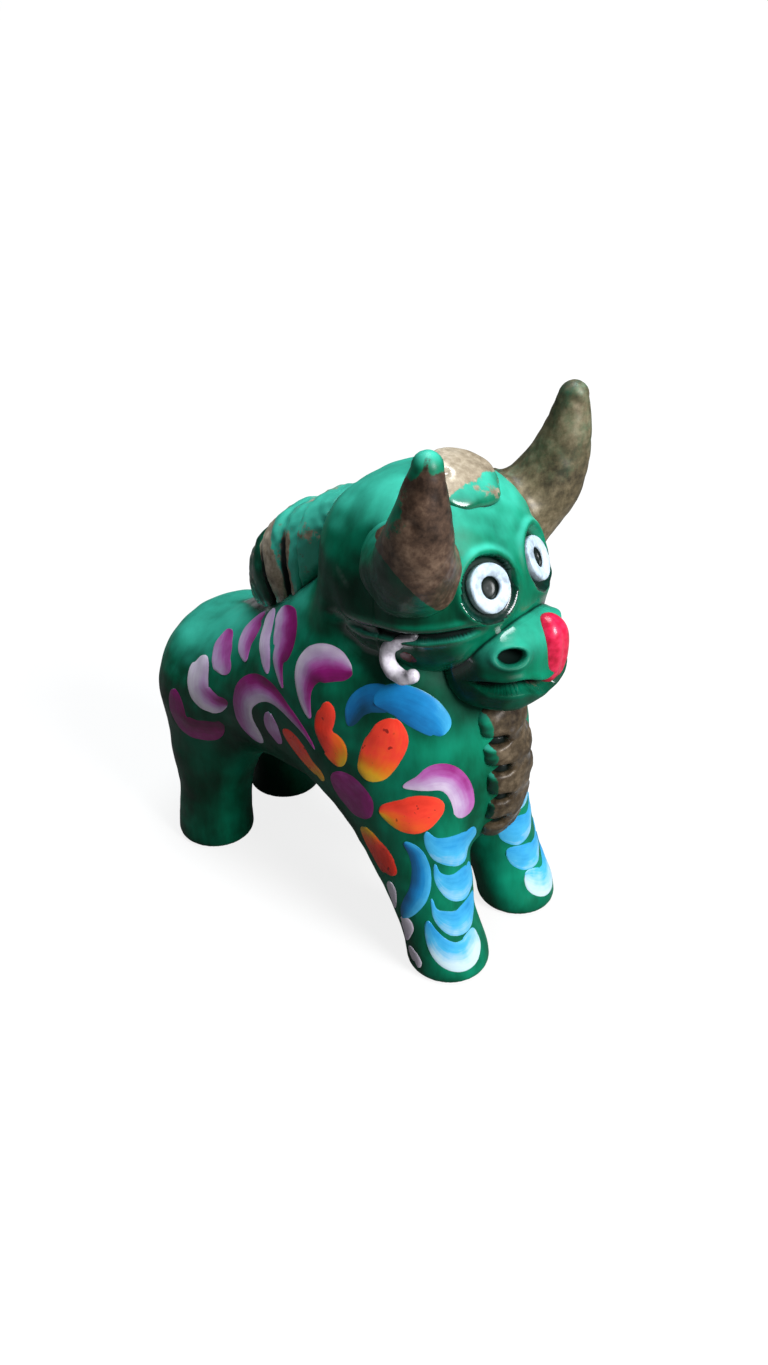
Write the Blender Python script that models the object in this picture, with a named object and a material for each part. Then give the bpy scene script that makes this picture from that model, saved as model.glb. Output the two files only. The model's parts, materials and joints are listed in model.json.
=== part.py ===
"""Folk-art bull of painted clay, built from lumps and coils luted together with slip."""

import math

import bmesh
import bpy
from mathutils import Matrix, Vector

# Sizes are in millimetres and turned into metres where a mesh is made. The bull looks
# along -Y and stands on z = 0. Until it is centred at the end, y = 0 lies half-way
# between the front and the rear feet.
MM = 0.001

# Slip left between two luted pieces
SLIP = 0.3

# Barrel from rump to breast: y, half width, underside, top
RUMP = (24.0, 12.4, 16.5, 36.3)
LOIN = (17.0, 13.2, 16.8, 39.2)
BACK = (10.0, 13.4, 17.0, 43.8)
WITHERS = (2.0, 14.3, 16.6, 50.3)
SHOULDER = (-5.0, 14.8, 15.8, 55.0)
BREAST = (-12.0, 14.0, 14.6, 54.0)
RUMP_LENGTH = 8.4
RUMP_POLE = 26.0
CHEST_LENGTH = 14.0
CHEST_POLE = 28.0
HUMP_NARROWING = 0.10
HUMP_LOW = 11.0
HUMP_HIGH = 21.0

# Legs: place of a foot, then height, inward, backward, half width, half depth
FRONT_FOOT = (8.4, -22.6)
FRONT_LEG = (
    (0.0, 0.0, 0.0, 5.6, 5.6),
    (8.0, 0.4, 3.1, 5.4, 5.9),
    (16.0, 1.1, 7.2, 5.8, 8.5),
    (24.0, 1.5, 10.4, 6.8, 10.7),
    (34.0, 2.0, 12.4, 6.2, 9.8),
)
REAR_FOOT = (7.9, 22.3)
REAR_LEG = (
    (0.0, 0.0, 0.0, 5.7, 5.8),
    (9.0, 0.4, -0.3, 5.5, 5.6),
    (16.0, 0.9, -0.7, 6.1, 7.4),
    (23.0, 1.5, -1.3, 6.4, 9.0),
    (30.0, 2.1, -2.4, 5.6, 8.2),
)
FOOT_EDGE = 1.2

# Head: an upright egg tilted so that the face looks up
HEAD_Y = -14.0
HEAD_RISE = 0.3
HEAD_HALF = (12.5, 10.9, 12.6)
HEAD_POWER = 2.4
FACE_TILT = 31.0

# Muzzle, measured from the middle of the head
MUZZLE_FORWARD = 9.2
MUZZLE_DROP = 8.8
MUZZLE_HALF = (7.4, 6.6, 6.0)
MUZZLE_POWER = 3.0
MUZZLE_TILT = 6.0
NOSTRIL_SPREAD = 4.7
NOSTRIL_RISE = 3.0
NOSTRIL_HALF = (1.1, 1.6, 0.8)
MOUTH_DROP = 1.6
MOUTH_HALF = (8.4, 7.0, 0.6)

# Tongue, measured from the middle of the muzzle; it licks up on the left
TONGUE_SIDE = 1.5
TONGUE_FORWARD = 5.0
TONGUE_RISE = 1.65
TONGUE_HALF = (2.6, 2.4, 4.6)

# Horns: root, bend and tip, sideways from the cheek, forward and up from the head's middle
HORN_ROOT = (-5.0, -0.5, 4.1)
HORN_BEND = (2.5, -6.5, 3.1)
HORN_TIP = (2.0, -7.9, 19.1)
HORN_TIP_RADIUS = 1.9
HORN_SWELL = 3.1
HORN_FULLNESS = 3.1

# Eyes: stamped pellets in round sockets, spread and drop as shares of the head's half sizes
EYE_SPREAD_SHARE = 0.41
EYE_DROP_SHARE = 0.26
EYE_SPLAY = 15.0
EYE_RADIUS = 3.0
EYE_HEIGHT = 1.5
PUPIL_RADIUS = 1.1
PUPIL_DEPTH = 0.9
EYE_EDGE = 0.5
SOCKET_RADIUS = 4.0
SOCKET_DEPTH = 1.2

# Ears: coils bent to a C on the side of the head, back and drop as shares of its half sizes
EAR_BACK_SHARE = 0.13
EAR_DROP_SHARE = 0.59
EAR_LIFT = 0.7
EAR_RING = 2.5
EAR_COIL = 1.15
EAR_OPENING = 90.0

# Forelock: a flat pad high on the face, rise as a share of the head's half height
FORELOCK_RISE_SHARE = 0.66
FORELOCK_SINK = 1.1
FORELOCK_WIDTH_SHARE = 0.42
FORELOCK_HALF_THICK = 2.2
FORELOCK_HALF_LENGTH = 5.0
FORELOCK_TILT = 32.0

# Mane crest: distance along the back and height above it, then its pleats
CREST_PATH = (
    (14.0, -1.4),
    (13.2, 2.0),
    (10.4, 4.9),
    (5.8, 5.5),
    (0.3, 3.9),
    (-3.0, 2.6),
)
CREST_HALF_WIDTH = 7.6
CREST_HALF_HEIGHT = 4.6
PLEATS = 4
PLEAT_DEPTH = 0.32

# Dewlap: strip down the chest with three pressed notches
DEWLAP_TUCK = 2.0
DEWLAP_LENGTH = 17.0
DEWLAP_SINK = 0.7
DEWLAP_HALF_WIDTH = 3.7
DEWLAP_HALF_DEPTH = 2.7
NOTCHES = 3
NOTCH_HALF = (1.9, 1.6, 0.7)
NOTCH_LIFT = 0.9

# Tail: coil over the rump, by angle from straight up to below the rearmost point
TAIL_START_ANGLE = 26.0
TAIL_END_ANGLE = 112.0
TAIL_HUB = 4.0
TAIL_SINK = 0.5
TAIL_RADIUS = 1.7
TUFT_RADIUS = 2.5

BARREL = (BREAST, SHOULDER, WITHERS, BACK, LOIN, RUMP)


def clear_scene():
    for old in list(bpy.data.objects):
        bpy.data.objects.remove(old, do_unlink=True)


def smooth_row(rows, at):
    """Curve through rows of numbers, level at both ends; a row starts with its place."""
    at = min(max(at, rows[0][0]), rows[-1][0])
    low = max(i for i in range(len(rows) - 1) if rows[i][0] <= at)
    span = rows[low + 1][0] - rows[low][0]
    u = (at - rows[low][0]) / span

    def slope(i, k):
        if i == 0 or i == len(rows) - 1:
            return 0.0
        return (rows[i + 1][k] - rows[i - 1][k]) / (rows[i + 1][0] - rows[i - 1][0])

    values = []
    for k in range(1, len(rows[0])):
        start, end = rows[low][k], rows[low + 1][k]
        values.append(
            (2 * u**3 - 3 * u**2 + 1) * start
            + (3 * u**2 - 2 * u**3) * end
            + (u**3 - 2 * u**2 + u) * span * slope(low, k)
            + (u**3 - u**2) * span * slope(low + 1, k)
        )
    return values


def rounding(share, power):
    """Quarter of a rounded outline: 1 at the start, 0 at the pole."""
    share = min(max(share, 0.0), 1.0)
    return (1.0 - share**power) ** (1.0 / power)


def barrel(y):
    """Half width, underside and top of the barrel at y."""
    half, under, top = smooth_row(BARREL, y)
    rear = (y - RUMP[0]) / RUMP_LENGTH
    fore = (BREAST[0] - y) / CHEST_LENGTH
    if fore > 0.0:
        half *= rounding(fore, 1.75)
        top = CHEST_POLE + (top - CHEST_POLE) * rounding(fore, 1.5)
        under = CHEST_POLE + (under - CHEST_POLE) * rounding(fore, 3.0)
    else:
        half *= rounding(rear, 2.0)
        top = RUMP_POLE + (top - RUMP_POLE) * rounding(rear, 2.0)
        under = RUMP_POLE + (under - RUMP_POLE) * rounding(rear, 2.0)
    return half, under, top


def chest_front(z):
    """Foremost y of the barrel's middle plane at height z."""
    inner, outer = BREAST[0], BREAST[0] - CHEST_LENGTH
    for _ in range(40):
        y = (inner + outer) / 2
        _, under, top = barrel(y)
        if under <= z <= top:
            inner = y
        else:
            outer = y
    return inner


def ring_of(centre, side, up, half_side, half_up, count):
    points = []
    for i in range(count):
        a = 2 * math.pi * i / count
        points.append(centre + side * (half_side * math.cos(a)) + up * (half_up * math.sin(a)))
    return points


def new_object(name, bm, material, location=(0, 0, 0), rotation=(0, 0, 0)):
    """Object from a bmesh in millimetres, with its normals facing out."""
    bmesh.ops.recalc_face_normals(bm, faces=bm.faces)
    bmesh.ops.scale(bm, vec=(MM, MM, MM), verts=bm.verts)
    mesh = bpy.data.meshes.new(name)
    bm.to_mesh(mesh)
    bm.free()
    mesh.shade_smooth()
    obj = bpy.data.objects.new(name, mesh)
    bpy.context.scene.collection.objects.link(obj)
    obj.location = Vector(location) * MM
    obj.rotation_euler = rotation
    obj.parent = bull
    if material:
        mesh.materials.append(material)
    return obj


def loft(rings, start=None, end=None):
    """Skin over rings of points, closed by a pole at each end or by a flat face."""
    bm = bmesh.new()
    rows = [[bm.verts.new(p) for p in ring] for ring in rings]
    count = len(rows[0])
    for low, high in zip(rows, rows[1:]):
        for i in range(count):
            j = (i + 1) % count
            bm.faces.new((low[i], low[j], high[j], high[i]))
    for row, pole in ((rows[0], start), (rows[-1], end)):
        if pole is None:
            bm.faces.new(row)
            continue
        tip = bm.verts.new(pole)
        for i in range(count):
            bm.faces.new((row[i], row[(i + 1) % count], tip))
    return bm


def sweep(path, sizes, side_hint, count):
    """Coil along a path with an oval section and rounded ends."""
    tangents = []
    for i in range(len(path)):
        tangents.append((path[min(i + 1, len(path) - 1)] - path[max(i - 1, 0)]).normalized())

    def section(i, scale, shift):
        side = (side_hint - tangents[i] * side_hint.dot(tangents[i])).normalized()
        up = tangents[i].cross(side)
        centre = path[i] + tangents[i] * shift
        return ring_of(centre, side, up, sizes[i][0] * scale, sizes[i][1] * scale, count)

    last = len(path) - 1
    reach = min(sizes[0])
    far = min(sizes[last])
    steps = [math.radians(a) for a in (30, 60)]
    rings = [section(0, math.cos(a), -reach * math.sin(a)) for a in reversed(steps)]
    rings += [section(i, 1.0, 0.0) for i in range(len(path))]
    rings += [section(last, math.cos(a), far * math.sin(a)) for a in steps]
    return loft(rings, path[0] - tangents[0] * reach, path[last] + tangents[last] * far)


def egg(half, power, around, along):
    """Ball stretched to three half sizes; a power above 2 squares it off."""
    def surface(turn, tilt):
        d = Vector((
            math.cos(turn) * math.sin(tilt),
            math.sin(turn) * math.sin(tilt),
            math.cos(tilt),
        ))
        size = sum(abs(d[k] / half[k]) ** power for k in range(3)) ** (-1.0 / power)
        return d * size

    rings = []
    for j in range(1, along):
        tilt = math.pi * j / along
        rings.append([surface(2 * math.pi * i / around, tilt) for i in range(around)])
    return loft(rings, (0, 0, half[2]), (0, 0, -half[2]))


def paint(name, hex_code, roughness):
    material = bpy.data.materials.new(name)
    material.use_nodes = True
    linear = []
    for i in (0, 2, 4):
        c = int(hex_code[i:i + 2], 16) / 255
        linear.append(c / 12.92 if c <= 0.04045 else ((c + 0.055) / 1.055) ** 2.4)
    shader = material.node_tree.nodes["Principled BSDF"]
    shader.inputs["Base Color"].default_value = (*linear, 1.0)
    shader.inputs["Roughness"].default_value = roughness
    shader.inputs["Metallic"].default_value = 0.0
    return material


def as_cutter(obj):
    obj.display_type = "WIRE"
    obj.hide_render = True
    return obj


def cut(piece, cutter):
    modifier = piece.modifiers.new("cut_" + cutter.name, "BOOLEAN")
    modifier.operation = "DIFFERENCE"
    modifier.solver = "EXACT"
    modifier.object = cutter


def bed(piece, *neighbours):
    """Scoop a piece to its neighbours' surfaces, one slip layer away."""
    for neighbour in neighbours:
        name = "slip_" + neighbour.name
        grown = bpy.data.objects.get(name)
        if grown is None:
            grown = bpy.data.objects.new(name, neighbour.data)
            bpy.context.scene.collection.objects.link(grown)
            grown.parent = bull
            grown.location = neighbour.location
            grown.rotation_euler = neighbour.rotation_euler
            layer = grown.modifiers.new("slip", "DISPLACE")
            layer.strength = SLIP * MM
            layer.mid_level = 0.0
            as_cutter(grown)
        cut(piece, grown)


def build_torso():
    rear = RUMP[0] + RUMP_LENGTH
    fore = BREAST[0] - CHEST_LENGTH
    rings = []
    for k in range(1, 26):
        y = (rear + fore) / 2 + (rear - fore) / 2 * math.cos(math.pi * k / 26)
        half, under, top = barrel(y)
        rise = (top - under) / 2
        tall = min(max((rise - HUMP_LOW) / (HUMP_HIGH - HUMP_LOW), 0.0), 1.0)
        ring = []
        for i in range(32):
            a = 2 * math.pi * i / 32
            width = half * (1.0 - HUMP_NARROWING * tall * math.sin(a))
            ring.append(Vector((width * math.cos(a), y, under + rise + rise * math.sin(a))))
        rings.append(ring)
    bm = loft(rings, (0, rear, RUMP_POLE), (0, fore, CHEST_POLE))
    return new_object("torso", bm, paint("painted_clay_torso", "136b50", 0.28))


def build_leg(name, foot, rows, side, torso):
    def ring(z, inset):
        inward, back, half_width, half_depth = smooth_row(rows, z)
        centre = Vector((-side * inward, back, z))
        return ring_of(centre, Vector((1, 0, 0)), Vector((0, 1, 0)),
                       half_width - inset, half_depth - inset, 20)

    rings = []
    for a in (0, 30, 60):
        lift = FOOT_EDGE * (1 - math.cos(math.radians(a)))
        rings.append(ring(lift, FOOT_EDGE * (1 - math.sin(math.radians(a)))))
    top = rows[-1][0]
    for k in range(13):
        rings.append(ring(FOOT_EDGE + (top - FOOT_EDGE) * k / 12, 0.0))
    inward, back, half_width, _ = smooth_row(rows, top)
    rings.append(ring(top + half_width * 0.35, half_width * 0.4))
    pole = (-side * inward, back, top + half_width * 0.5)
    leg = new_object(name, loft(rings, None, pole), paint("painted_clay_" + name, "0f4f3b", 0.3),
                     (side * foot[0], foot[1], 0))
    bed(leg, torso)
    return leg


def head_middle():
    return Vector((0.0, HEAD_Y, barrel(HEAD_Y)[2] + HEAD_RISE))


def head_turn():
    return Matrix.Rotation(math.radians(-FACE_TILT), 3, "X")


def face_depth(x, z):
    """Distance from the head's middle to its face at x, z in the head's own axes."""
    left = 1.0 - abs(x / HEAD_HALF[0]) ** HEAD_POWER - abs(z / HEAD_HALF[2]) ** HEAD_POWER
    return HEAD_HALF[1] * left ** (1.0 / HEAD_POWER)


def cheek_width(y, z):
    """Distance from the head's middle plane to its side at y, z in the head's own axes."""
    left = 1.0 - abs(y / HEAD_HALF[1]) ** HEAD_POWER - abs(z / HEAD_HALF[2]) ** HEAD_POWER
    return HEAD_HALF[0] * left ** (1.0 / HEAD_POWER)


def build_head(torso):
    bm = egg(HEAD_HALF, HEAD_POWER, 32, 22)
    head = new_object("head", bm, paint("painted_clay_head", "1c8467", 0.25),
                      head_middle(), (math.radians(-FACE_TILT), 0, 0))
    bed(head, torso)
    return head


def build_muzzle(head, torso):
    middle = head_middle() + Vector((0, -MUZZLE_FORWARD, -MUZZLE_DROP))
    muzzle = new_object("muzzle", egg(MUZZLE_HALF, MUZZLE_POWER, 24, 16),
                        paint("painted_clay_muzzle", "1a6a54", 0.25),
                        middle, (math.radians(-MUZZLE_TILT), 0, 0))
    bed(muzzle, head, torso)
    for side, label in ((1, "left"), (-1, "right")):
        place = middle + Vector((side * NOSTRIL_SPREAD, -MUZZLE_HALF[1] * 0.72, NOSTRIL_RISE))
        hole = new_object("nostril_" + label, egg(NOSTRIL_HALF, 2.0, 12, 8), None, place,
                          (0, 0, math.radians(side * 30)))
        cut(muzzle, as_cutter(hole))
    place = middle + Vector((0, -MUZZLE_HALF[1], -MOUTH_DROP))
    slit = new_object("mouth", egg(MOUTH_HALF, 2.0, 24, 8), None, place)
    cut(muzzle, as_cutter(slit))
    return muzzle


def build_tongue(head, muzzle):
    middle = muzzle.location / MM + Vector((TONGUE_SIDE, -TONGUE_FORWARD, TONGUE_RISE))
    tongue = new_object("tongue", egg(TONGUE_HALF, 2.2, 16, 12), paint("red_paint_tongue", "d3244c", 0.3),
                        middle)
    bed(tongue, muzzle, head)
    return tongue


def build_horn(name, side, head):
    start, bend, tip = (
        Vector((side * (HEAD_HALF[0] + p[0]), p[1], p[2])) for p in (HORN_ROOT, HORN_BEND, HORN_TIP)
    )
    path = []
    sizes = []
    for k in range(15):
        t = k / 14
        path.append(start * (1 - t) ** 2 + bend * 2 * t * (1 - t) + tip * t**2)
        radius = HORN_TIP_RADIUS + HORN_SWELL * (1 - t**HORN_FULLNESS)
        sizes.append((radius, radius))
    horn = new_object(name, sweep(path, sizes, Vector((0, 1, 0)), 18),
                      paint("bronze_paint_" + name, "6f5b47", 0.42), head_middle())
    bed(horn, head)
    return horn


def build_eye(name, side, head):
    splay = math.radians(EYE_SPLAY) * side
    out = Vector((math.sin(splay), -math.cos(splay), 0))
    spread = EYE_SPREAD_SHARE * HEAD_HALF[0]
    drop = EYE_DROP_SHARE * HEAD_HALF[2]
    local = Vector((side * spread, -face_depth(spread, drop), -drop))
    floor = local - out * SOCKET_DEPTH
    turn = head_turn() @ out.to_track_quat("Z", "Y").to_matrix()

    def place(point):
        return head_middle() + head_turn() @ point

    reach = SOCKET_DEPTH + SOCKET_RADIUS
    flat = [(SOCKET_RADIUS, 0.0), (SOCKET_RADIUS, reach)]
    rings = [ring_of(Vector((0, 0, z)), Vector((1, 0, 0)), Vector((0, 1, 0)), r, r, 24) for r, z in flat]
    socket = new_object("socket_" + name, loft(rings), None, place(floor), turn.to_euler())
    cut(head, as_cutter(socket))

    profile = (
        (EYE_RADIUS - 0.6 * EYE_EDGE, 0.0),
        (EYE_RADIUS, 0.6 * EYE_EDGE),
        (EYE_RADIUS, EYE_HEIGHT - EYE_EDGE),
        (EYE_RADIUS - 0.3 * EYE_EDGE, EYE_HEIGHT - 0.3 * EYE_EDGE),
        (EYE_RADIUS - EYE_EDGE, EYE_HEIGHT),
        (PUPIL_RADIUS + 0.4 * EYE_EDGE, EYE_HEIGHT),
        (PUPIL_RADIUS, EYE_HEIGHT - 0.4 * EYE_EDGE),
        (PUPIL_RADIUS, EYE_HEIGHT - PUPIL_DEPTH),
    )
    rings = [ring_of(Vector((0, 0, z)), Vector((1, 0, 0)), Vector((0, 1, 0)), r, r, 20) for r, z in profile]
    bm = loft(rings)
    return new_object(name, bm, paint("white_paint_" + name, "c3d6e0", 0.3),
                      place(floor + out * SLIP), turn.to_euler())


def build_ear(name, side, head, torso):
    back = EAR_BACK_SHARE * HEAD_HALF[1]
    drop = EAR_DROP_SHARE * HEAD_HALF[2]
    local = Vector((side * (cheek_width(back, drop) + EAR_LIFT), back, -drop))
    middle = head_middle() + head_turn() @ local
    path = []
    for k in range(15):
        a = math.radians(EAR_OPENING / 2 + (360 - EAR_OPENING) * k / 14)
        path.append(Vector((0, -EAR_RING * math.cos(a), EAR_RING * math.sin(a))))
    sizes = [(EAR_COIL, EAR_COIL)] * len(path)
    ear = new_object(name, sweep(path, sizes, Vector((1, 0, 0)), 10),
                     paint("white_paint_" + name, "a9aab2", 0.3), middle)
    bed(ear, head, torso)
    return ear


def build_forelock(head):
    rise = FORELOCK_RISE_SHARE * HEAD_HALF[2]
    local = Vector((0, -face_depth(0, rise) + FORELOCK_SINK, rise))
    half = (FORELOCK_WIDTH_SHARE * HEAD_HALF[0], FORELOCK_HALF_THICK, FORELOCK_HALF_LENGTH)
    forelock = new_object("forelock", egg(half, 2.2, 18, 12),
                          paint("bronze_paint_forelock", "8a785f", 0.42),
                          head_middle() + head_turn() @ local,
                          (math.radians(-FACE_TILT - FORELOCK_TILT), 0, 0))
    bed(forelock, head)
    return forelock


def build_crest(head, torso):
    rows = [(k / (len(CREST_PATH) - 1), *CREST_PATH[k]) for k in range(len(CREST_PATH))]
    path = []
    sizes = []
    count = 6 * PLEATS
    for k in range(count + 1):
        t = k / count
        y, rise = smooth_row(rows, t)
        path.append(Vector((0, y, barrel(y)[2] + rise)))
        pinch = 1.0 - PLEAT_DEPTH * (1.0 - abs(math.sin(math.pi * PLEATS * t))) ** 2
        sizes.append((CREST_HALF_WIDTH * pinch, CREST_HALF_HEIGHT * pinch))
    crest = new_object("mane_crest", sweep(path, sizes, Vector((1, 0, 0)), 18),
                       paint("painted_clay_mane_crest", "2c6d55", 0.3))
    bed(crest, torso, head)
    return crest


def build_dewlap(torso, muzzle, legs):
    top = muzzle.location.z / MM - MUZZLE_HALF[2] - DEWLAP_TUCK
    path = []
    sizes = []
    for k in range(17):
        t = k / 16
        z = top - DEWLAP_LENGTH * t
        path.append(Vector((0, chest_front(z) + DEWLAP_SINK, z)))
        thin = 1.0 - 0.25 * t**3
        sizes.append((DEWLAP_HALF_WIDTH * thin, DEWLAP_HALF_DEPTH * thin))
    dewlap = new_object("dewlap", sweep(path, sizes, Vector((1, 0, 0)), 18),
                        paint("bronze_paint_dewlap", "5c5342", 0.4))
    bed(dewlap, torso, muzzle, *legs)
    for k in range(NOTCHES):
        z = top - DEWLAP_LENGTH * (k + 0.55) / NOTCHES
        for side, label in ((1, "left"), (-1, "right")):
            place = (side * DEWLAP_HALF_WIDTH, chest_front(z) - NOTCH_LIFT, z)
            notch = new_object("notch_%s_%d" % (label, k), egg(NOTCH_HALF, 2.0, 10, 6), None, place)
            cut(dewlap, as_cutter(notch))
    return dewlap


def build_tail(torso, legs):
    path = []
    sizes = []
    for k in range(17):
        t = k / 16
        a = math.radians(TAIL_START_ANGLE + (TAIL_END_ANGLE - TAIL_START_ANGLE) * t)
        y = RUMP[0] + RUMP_LENGTH * math.sin(a)
        _, under, top = barrel(y)
        z = top if math.cos(a) >= 0 else under
        spot = Vector((0, y, z))
        out = (spot - Vector((0, RUMP[0] - TAIL_HUB, RUMP_POLE))).normalized()
        path.append(spot - out * TAIL_SINK)
        tuft = math.sin(math.pi * max(0.0, (t - 0.7) / 0.3)) if t > 0.7 else 0.0
        radius = TAIL_RADIUS + (TUFT_RADIUS - TAIL_RADIUS) * tuft
        sizes.append((radius, radius * 0.9))
    tail = new_object("tail", sweep(path, sizes, Vector((1, 0, 0)), 12),
                      paint("bronze_paint_tail", "6a5a48", 0.4))
    bed(tail, torso, *legs)
    return tail


def centre_on_ground():
    """Move the whole bull so that its bounding box is centred over the origin."""
    bpy.context.view_layer.update()
    graph = bpy.context.evaluated_depsgraph_get()
    reach = []
    for obj in bull.children:
        if obj.hide_render:
            continue
        shown = obj.evaluated_get(graph)
        reach += [(shown.matrix_world @ v.co).y for v in shown.data.vertices]
    bull.location.y = -(min(reach) + max(reach)) / 2
    bpy.context.view_layer.update()


clear_scene()
bull = bpy.data.objects.new("bull", None)
bpy.context.scene.collection.objects.link(bull)

body = build_torso()
front_legs = [
    build_leg("leg_front_left", FRONT_FOOT, FRONT_LEG, 1, body),
    build_leg("leg_front_right", FRONT_FOOT, FRONT_LEG, -1, body),
]
rear_legs = [
    build_leg("leg_rear_left", REAR_FOOT, REAR_LEG, 1, body),
    build_leg("leg_rear_right", REAR_FOOT, REAR_LEG, -1, body),
]
skull = build_head(body)
snout = build_muzzle(skull, body)
build_tongue(skull, snout)
build_horn("horn_left", 1, skull)
build_horn("horn_right", -1, skull)
build_eye("eye_left", 1, skull)
build_eye("eye_right", -1, skull)
build_ear("ear_left", 1, skull, body)
build_ear("ear_right", -1, skull, body)
build_forelock(skull)
build_crest(skull, body)
build_dewlap(body, snout, front_legs)
build_tail(body, rear_legs)
centre_on_ground()
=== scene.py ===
import json
import math
import bpy
import mathutils
import numpy as np
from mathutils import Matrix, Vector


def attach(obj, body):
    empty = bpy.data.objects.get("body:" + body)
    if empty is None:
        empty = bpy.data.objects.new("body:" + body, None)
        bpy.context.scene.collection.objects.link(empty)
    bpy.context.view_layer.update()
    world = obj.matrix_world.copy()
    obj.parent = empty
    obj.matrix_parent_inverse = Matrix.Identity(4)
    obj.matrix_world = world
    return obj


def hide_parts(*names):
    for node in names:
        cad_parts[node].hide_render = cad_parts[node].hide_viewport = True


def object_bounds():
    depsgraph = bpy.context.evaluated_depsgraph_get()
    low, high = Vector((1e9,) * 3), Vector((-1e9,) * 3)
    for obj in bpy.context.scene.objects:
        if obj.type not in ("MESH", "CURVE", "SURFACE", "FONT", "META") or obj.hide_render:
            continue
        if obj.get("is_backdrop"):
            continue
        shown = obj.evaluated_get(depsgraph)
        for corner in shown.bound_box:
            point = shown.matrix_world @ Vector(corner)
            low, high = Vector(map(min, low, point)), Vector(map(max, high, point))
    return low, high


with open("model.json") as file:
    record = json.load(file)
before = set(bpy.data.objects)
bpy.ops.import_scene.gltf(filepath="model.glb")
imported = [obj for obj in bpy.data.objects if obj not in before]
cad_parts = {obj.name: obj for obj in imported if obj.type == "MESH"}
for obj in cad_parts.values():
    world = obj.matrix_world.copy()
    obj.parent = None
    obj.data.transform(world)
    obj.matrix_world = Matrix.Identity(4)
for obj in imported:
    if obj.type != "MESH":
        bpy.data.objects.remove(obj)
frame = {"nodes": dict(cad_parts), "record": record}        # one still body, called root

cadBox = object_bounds()
print("frame loaded,", len(frame["nodes"]), "nodes")

# Sizes are millimetres in the potter's own axes: the bull looks along -Y, stands on z = 0
# and y = 0 lies half-way between its front and rear feet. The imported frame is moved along
# Y a little, and the mount under a front foot tells how far.
footY = -22.6
mounts = {m["name"]: m["pos_m"] for m in frame["record"]["mounts"]}
stanceShift = np.array([0.0, mounts["foot_front_left"][1] * 1000 - footY, 0.0])


def toFrame(points):
    return (np.asarray(points, float) + stanceShift) / 1000


def hexColour(code):
    # sRGB hex to a linear colour with full alpha
    parts = [int(code[i:i + 2], 16) / 255 for i in (1, 3, 5)]
    return tuple(c / 12.92 if c <= 0.04045 else ((c + 0.055) / 1.055) ** 2.4 for c in parts) + (1.0,)


def addNode(tree, kind, settings={}, links={}, out=0):
    # one node with its settings and links; gives back the output that is used next.
    # "stops" fills a colour ramp, a socket's name or number sets it, the rest are attributes
    node = tree.nodes.new("ShaderNode" + kind)
    for key, value in settings.items():
        if key == "stops":
            while len(node.color_ramp.elements) < len(value):
                node.color_ramp.elements.new(0.5)
            for element, (place, code) in zip(node.color_ramp.elements, value):
                element.position = place
                element.color = hexColour(code)
        elif isinstance(key, int) or key in node.inputs:
            node.inputs[key].default_value = value
        else:
            setattr(node, key, value)
    for key, source in links.items():
        tree.links.new(source, node.inputs[key])
    return node.outputs[out]


def newMaterial(name, sockets):
    material = bpy.data.materials.new(name)
    material.use_nodes = True
    shader = material.node_tree.nodes["Principled BSDF"]
    for key, value in sockets.items():
        shader.inputs[key].default_value = value
    return material, material.node_tree, shader


def signedVolume(points, triangles):
    a, b, c = (points[triangles[:, k]] for k in range(3))
    return float(np.einsum("ij,ij->i", a, np.cross(b, c)).sum() / 6)


def addPiece(name, points, quads, triangles, material, cornerUv=None, marks=None):
    # mesh from whole arrays; faces are turned outwards by the sign of the enclosed volume.
    # cornerUv holds the UV of each face corner, quads first; marks are values per point.
    points = np.asarray(points, float)
    quads = np.asarray(quads, int).reshape(-1, 4)
    triangles = np.asarray(triangles, int).reshape(-1, 3)
    split = np.concatenate([quads[:, [0, 1, 2]], quads[:, [0, 2, 3]], triangles])
    uvQuads, uvTriangles = cornerUv if cornerUv is not None else (None, None)
    if signedVolume(points, split) < 0:
        quads = quads[:, ::-1]
        triangles = triangles[:, ::-1]
        if cornerUv is not None:
            uvQuads, uvTriangles = uvQuads[:, ::-1], uvTriangles[:, ::-1]
    mesh = bpy.data.meshes.new(name)
    mesh.from_pydata(toFrame(points).tolist(), [], quads.tolist() + triangles.tolist())
    mesh.polygons.foreach_set("use_smooth", np.ones(len(mesh.polygons), bool))
    if cornerUv is not None:
        layer = mesh.uv_layers.new(name="stroke")
        flat = np.concatenate([uvQuads.reshape(-1, 2), uvTriangles.reshape(-1, 2)])
        layer.data.foreach_set("uv", flat.ravel().astype(np.float32))
    mesh.update()
    # painted highlight where the surface looks up and painted shade where it looks sideways
    normal = np.zeros(len(points) * 3, np.float32)
    mesh.vertices.foreach_get("normal", normal)
    marks = {"rubbed": fade(normal[2::3], 0.35, 0.95),
             "thick": fade(np.abs(normal[0::3]), 0.4, 0.85) * (1 - fade(normal[2::3], 0.0, 0.38)),
             **(marks or {})}
    for key, values in marks.items():
        mark = mesh.attributes.new(key, "FLOAT", "POINT")
        mark.data.foreach_set("value", np.asarray(values, np.float32))
    piece = bpy.data.objects.new(name, mesh)
    bpy.context.scene.collection.objects.link(piece)
    mesh.materials.append(material)
    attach(piece, "root")
    return piece


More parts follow.
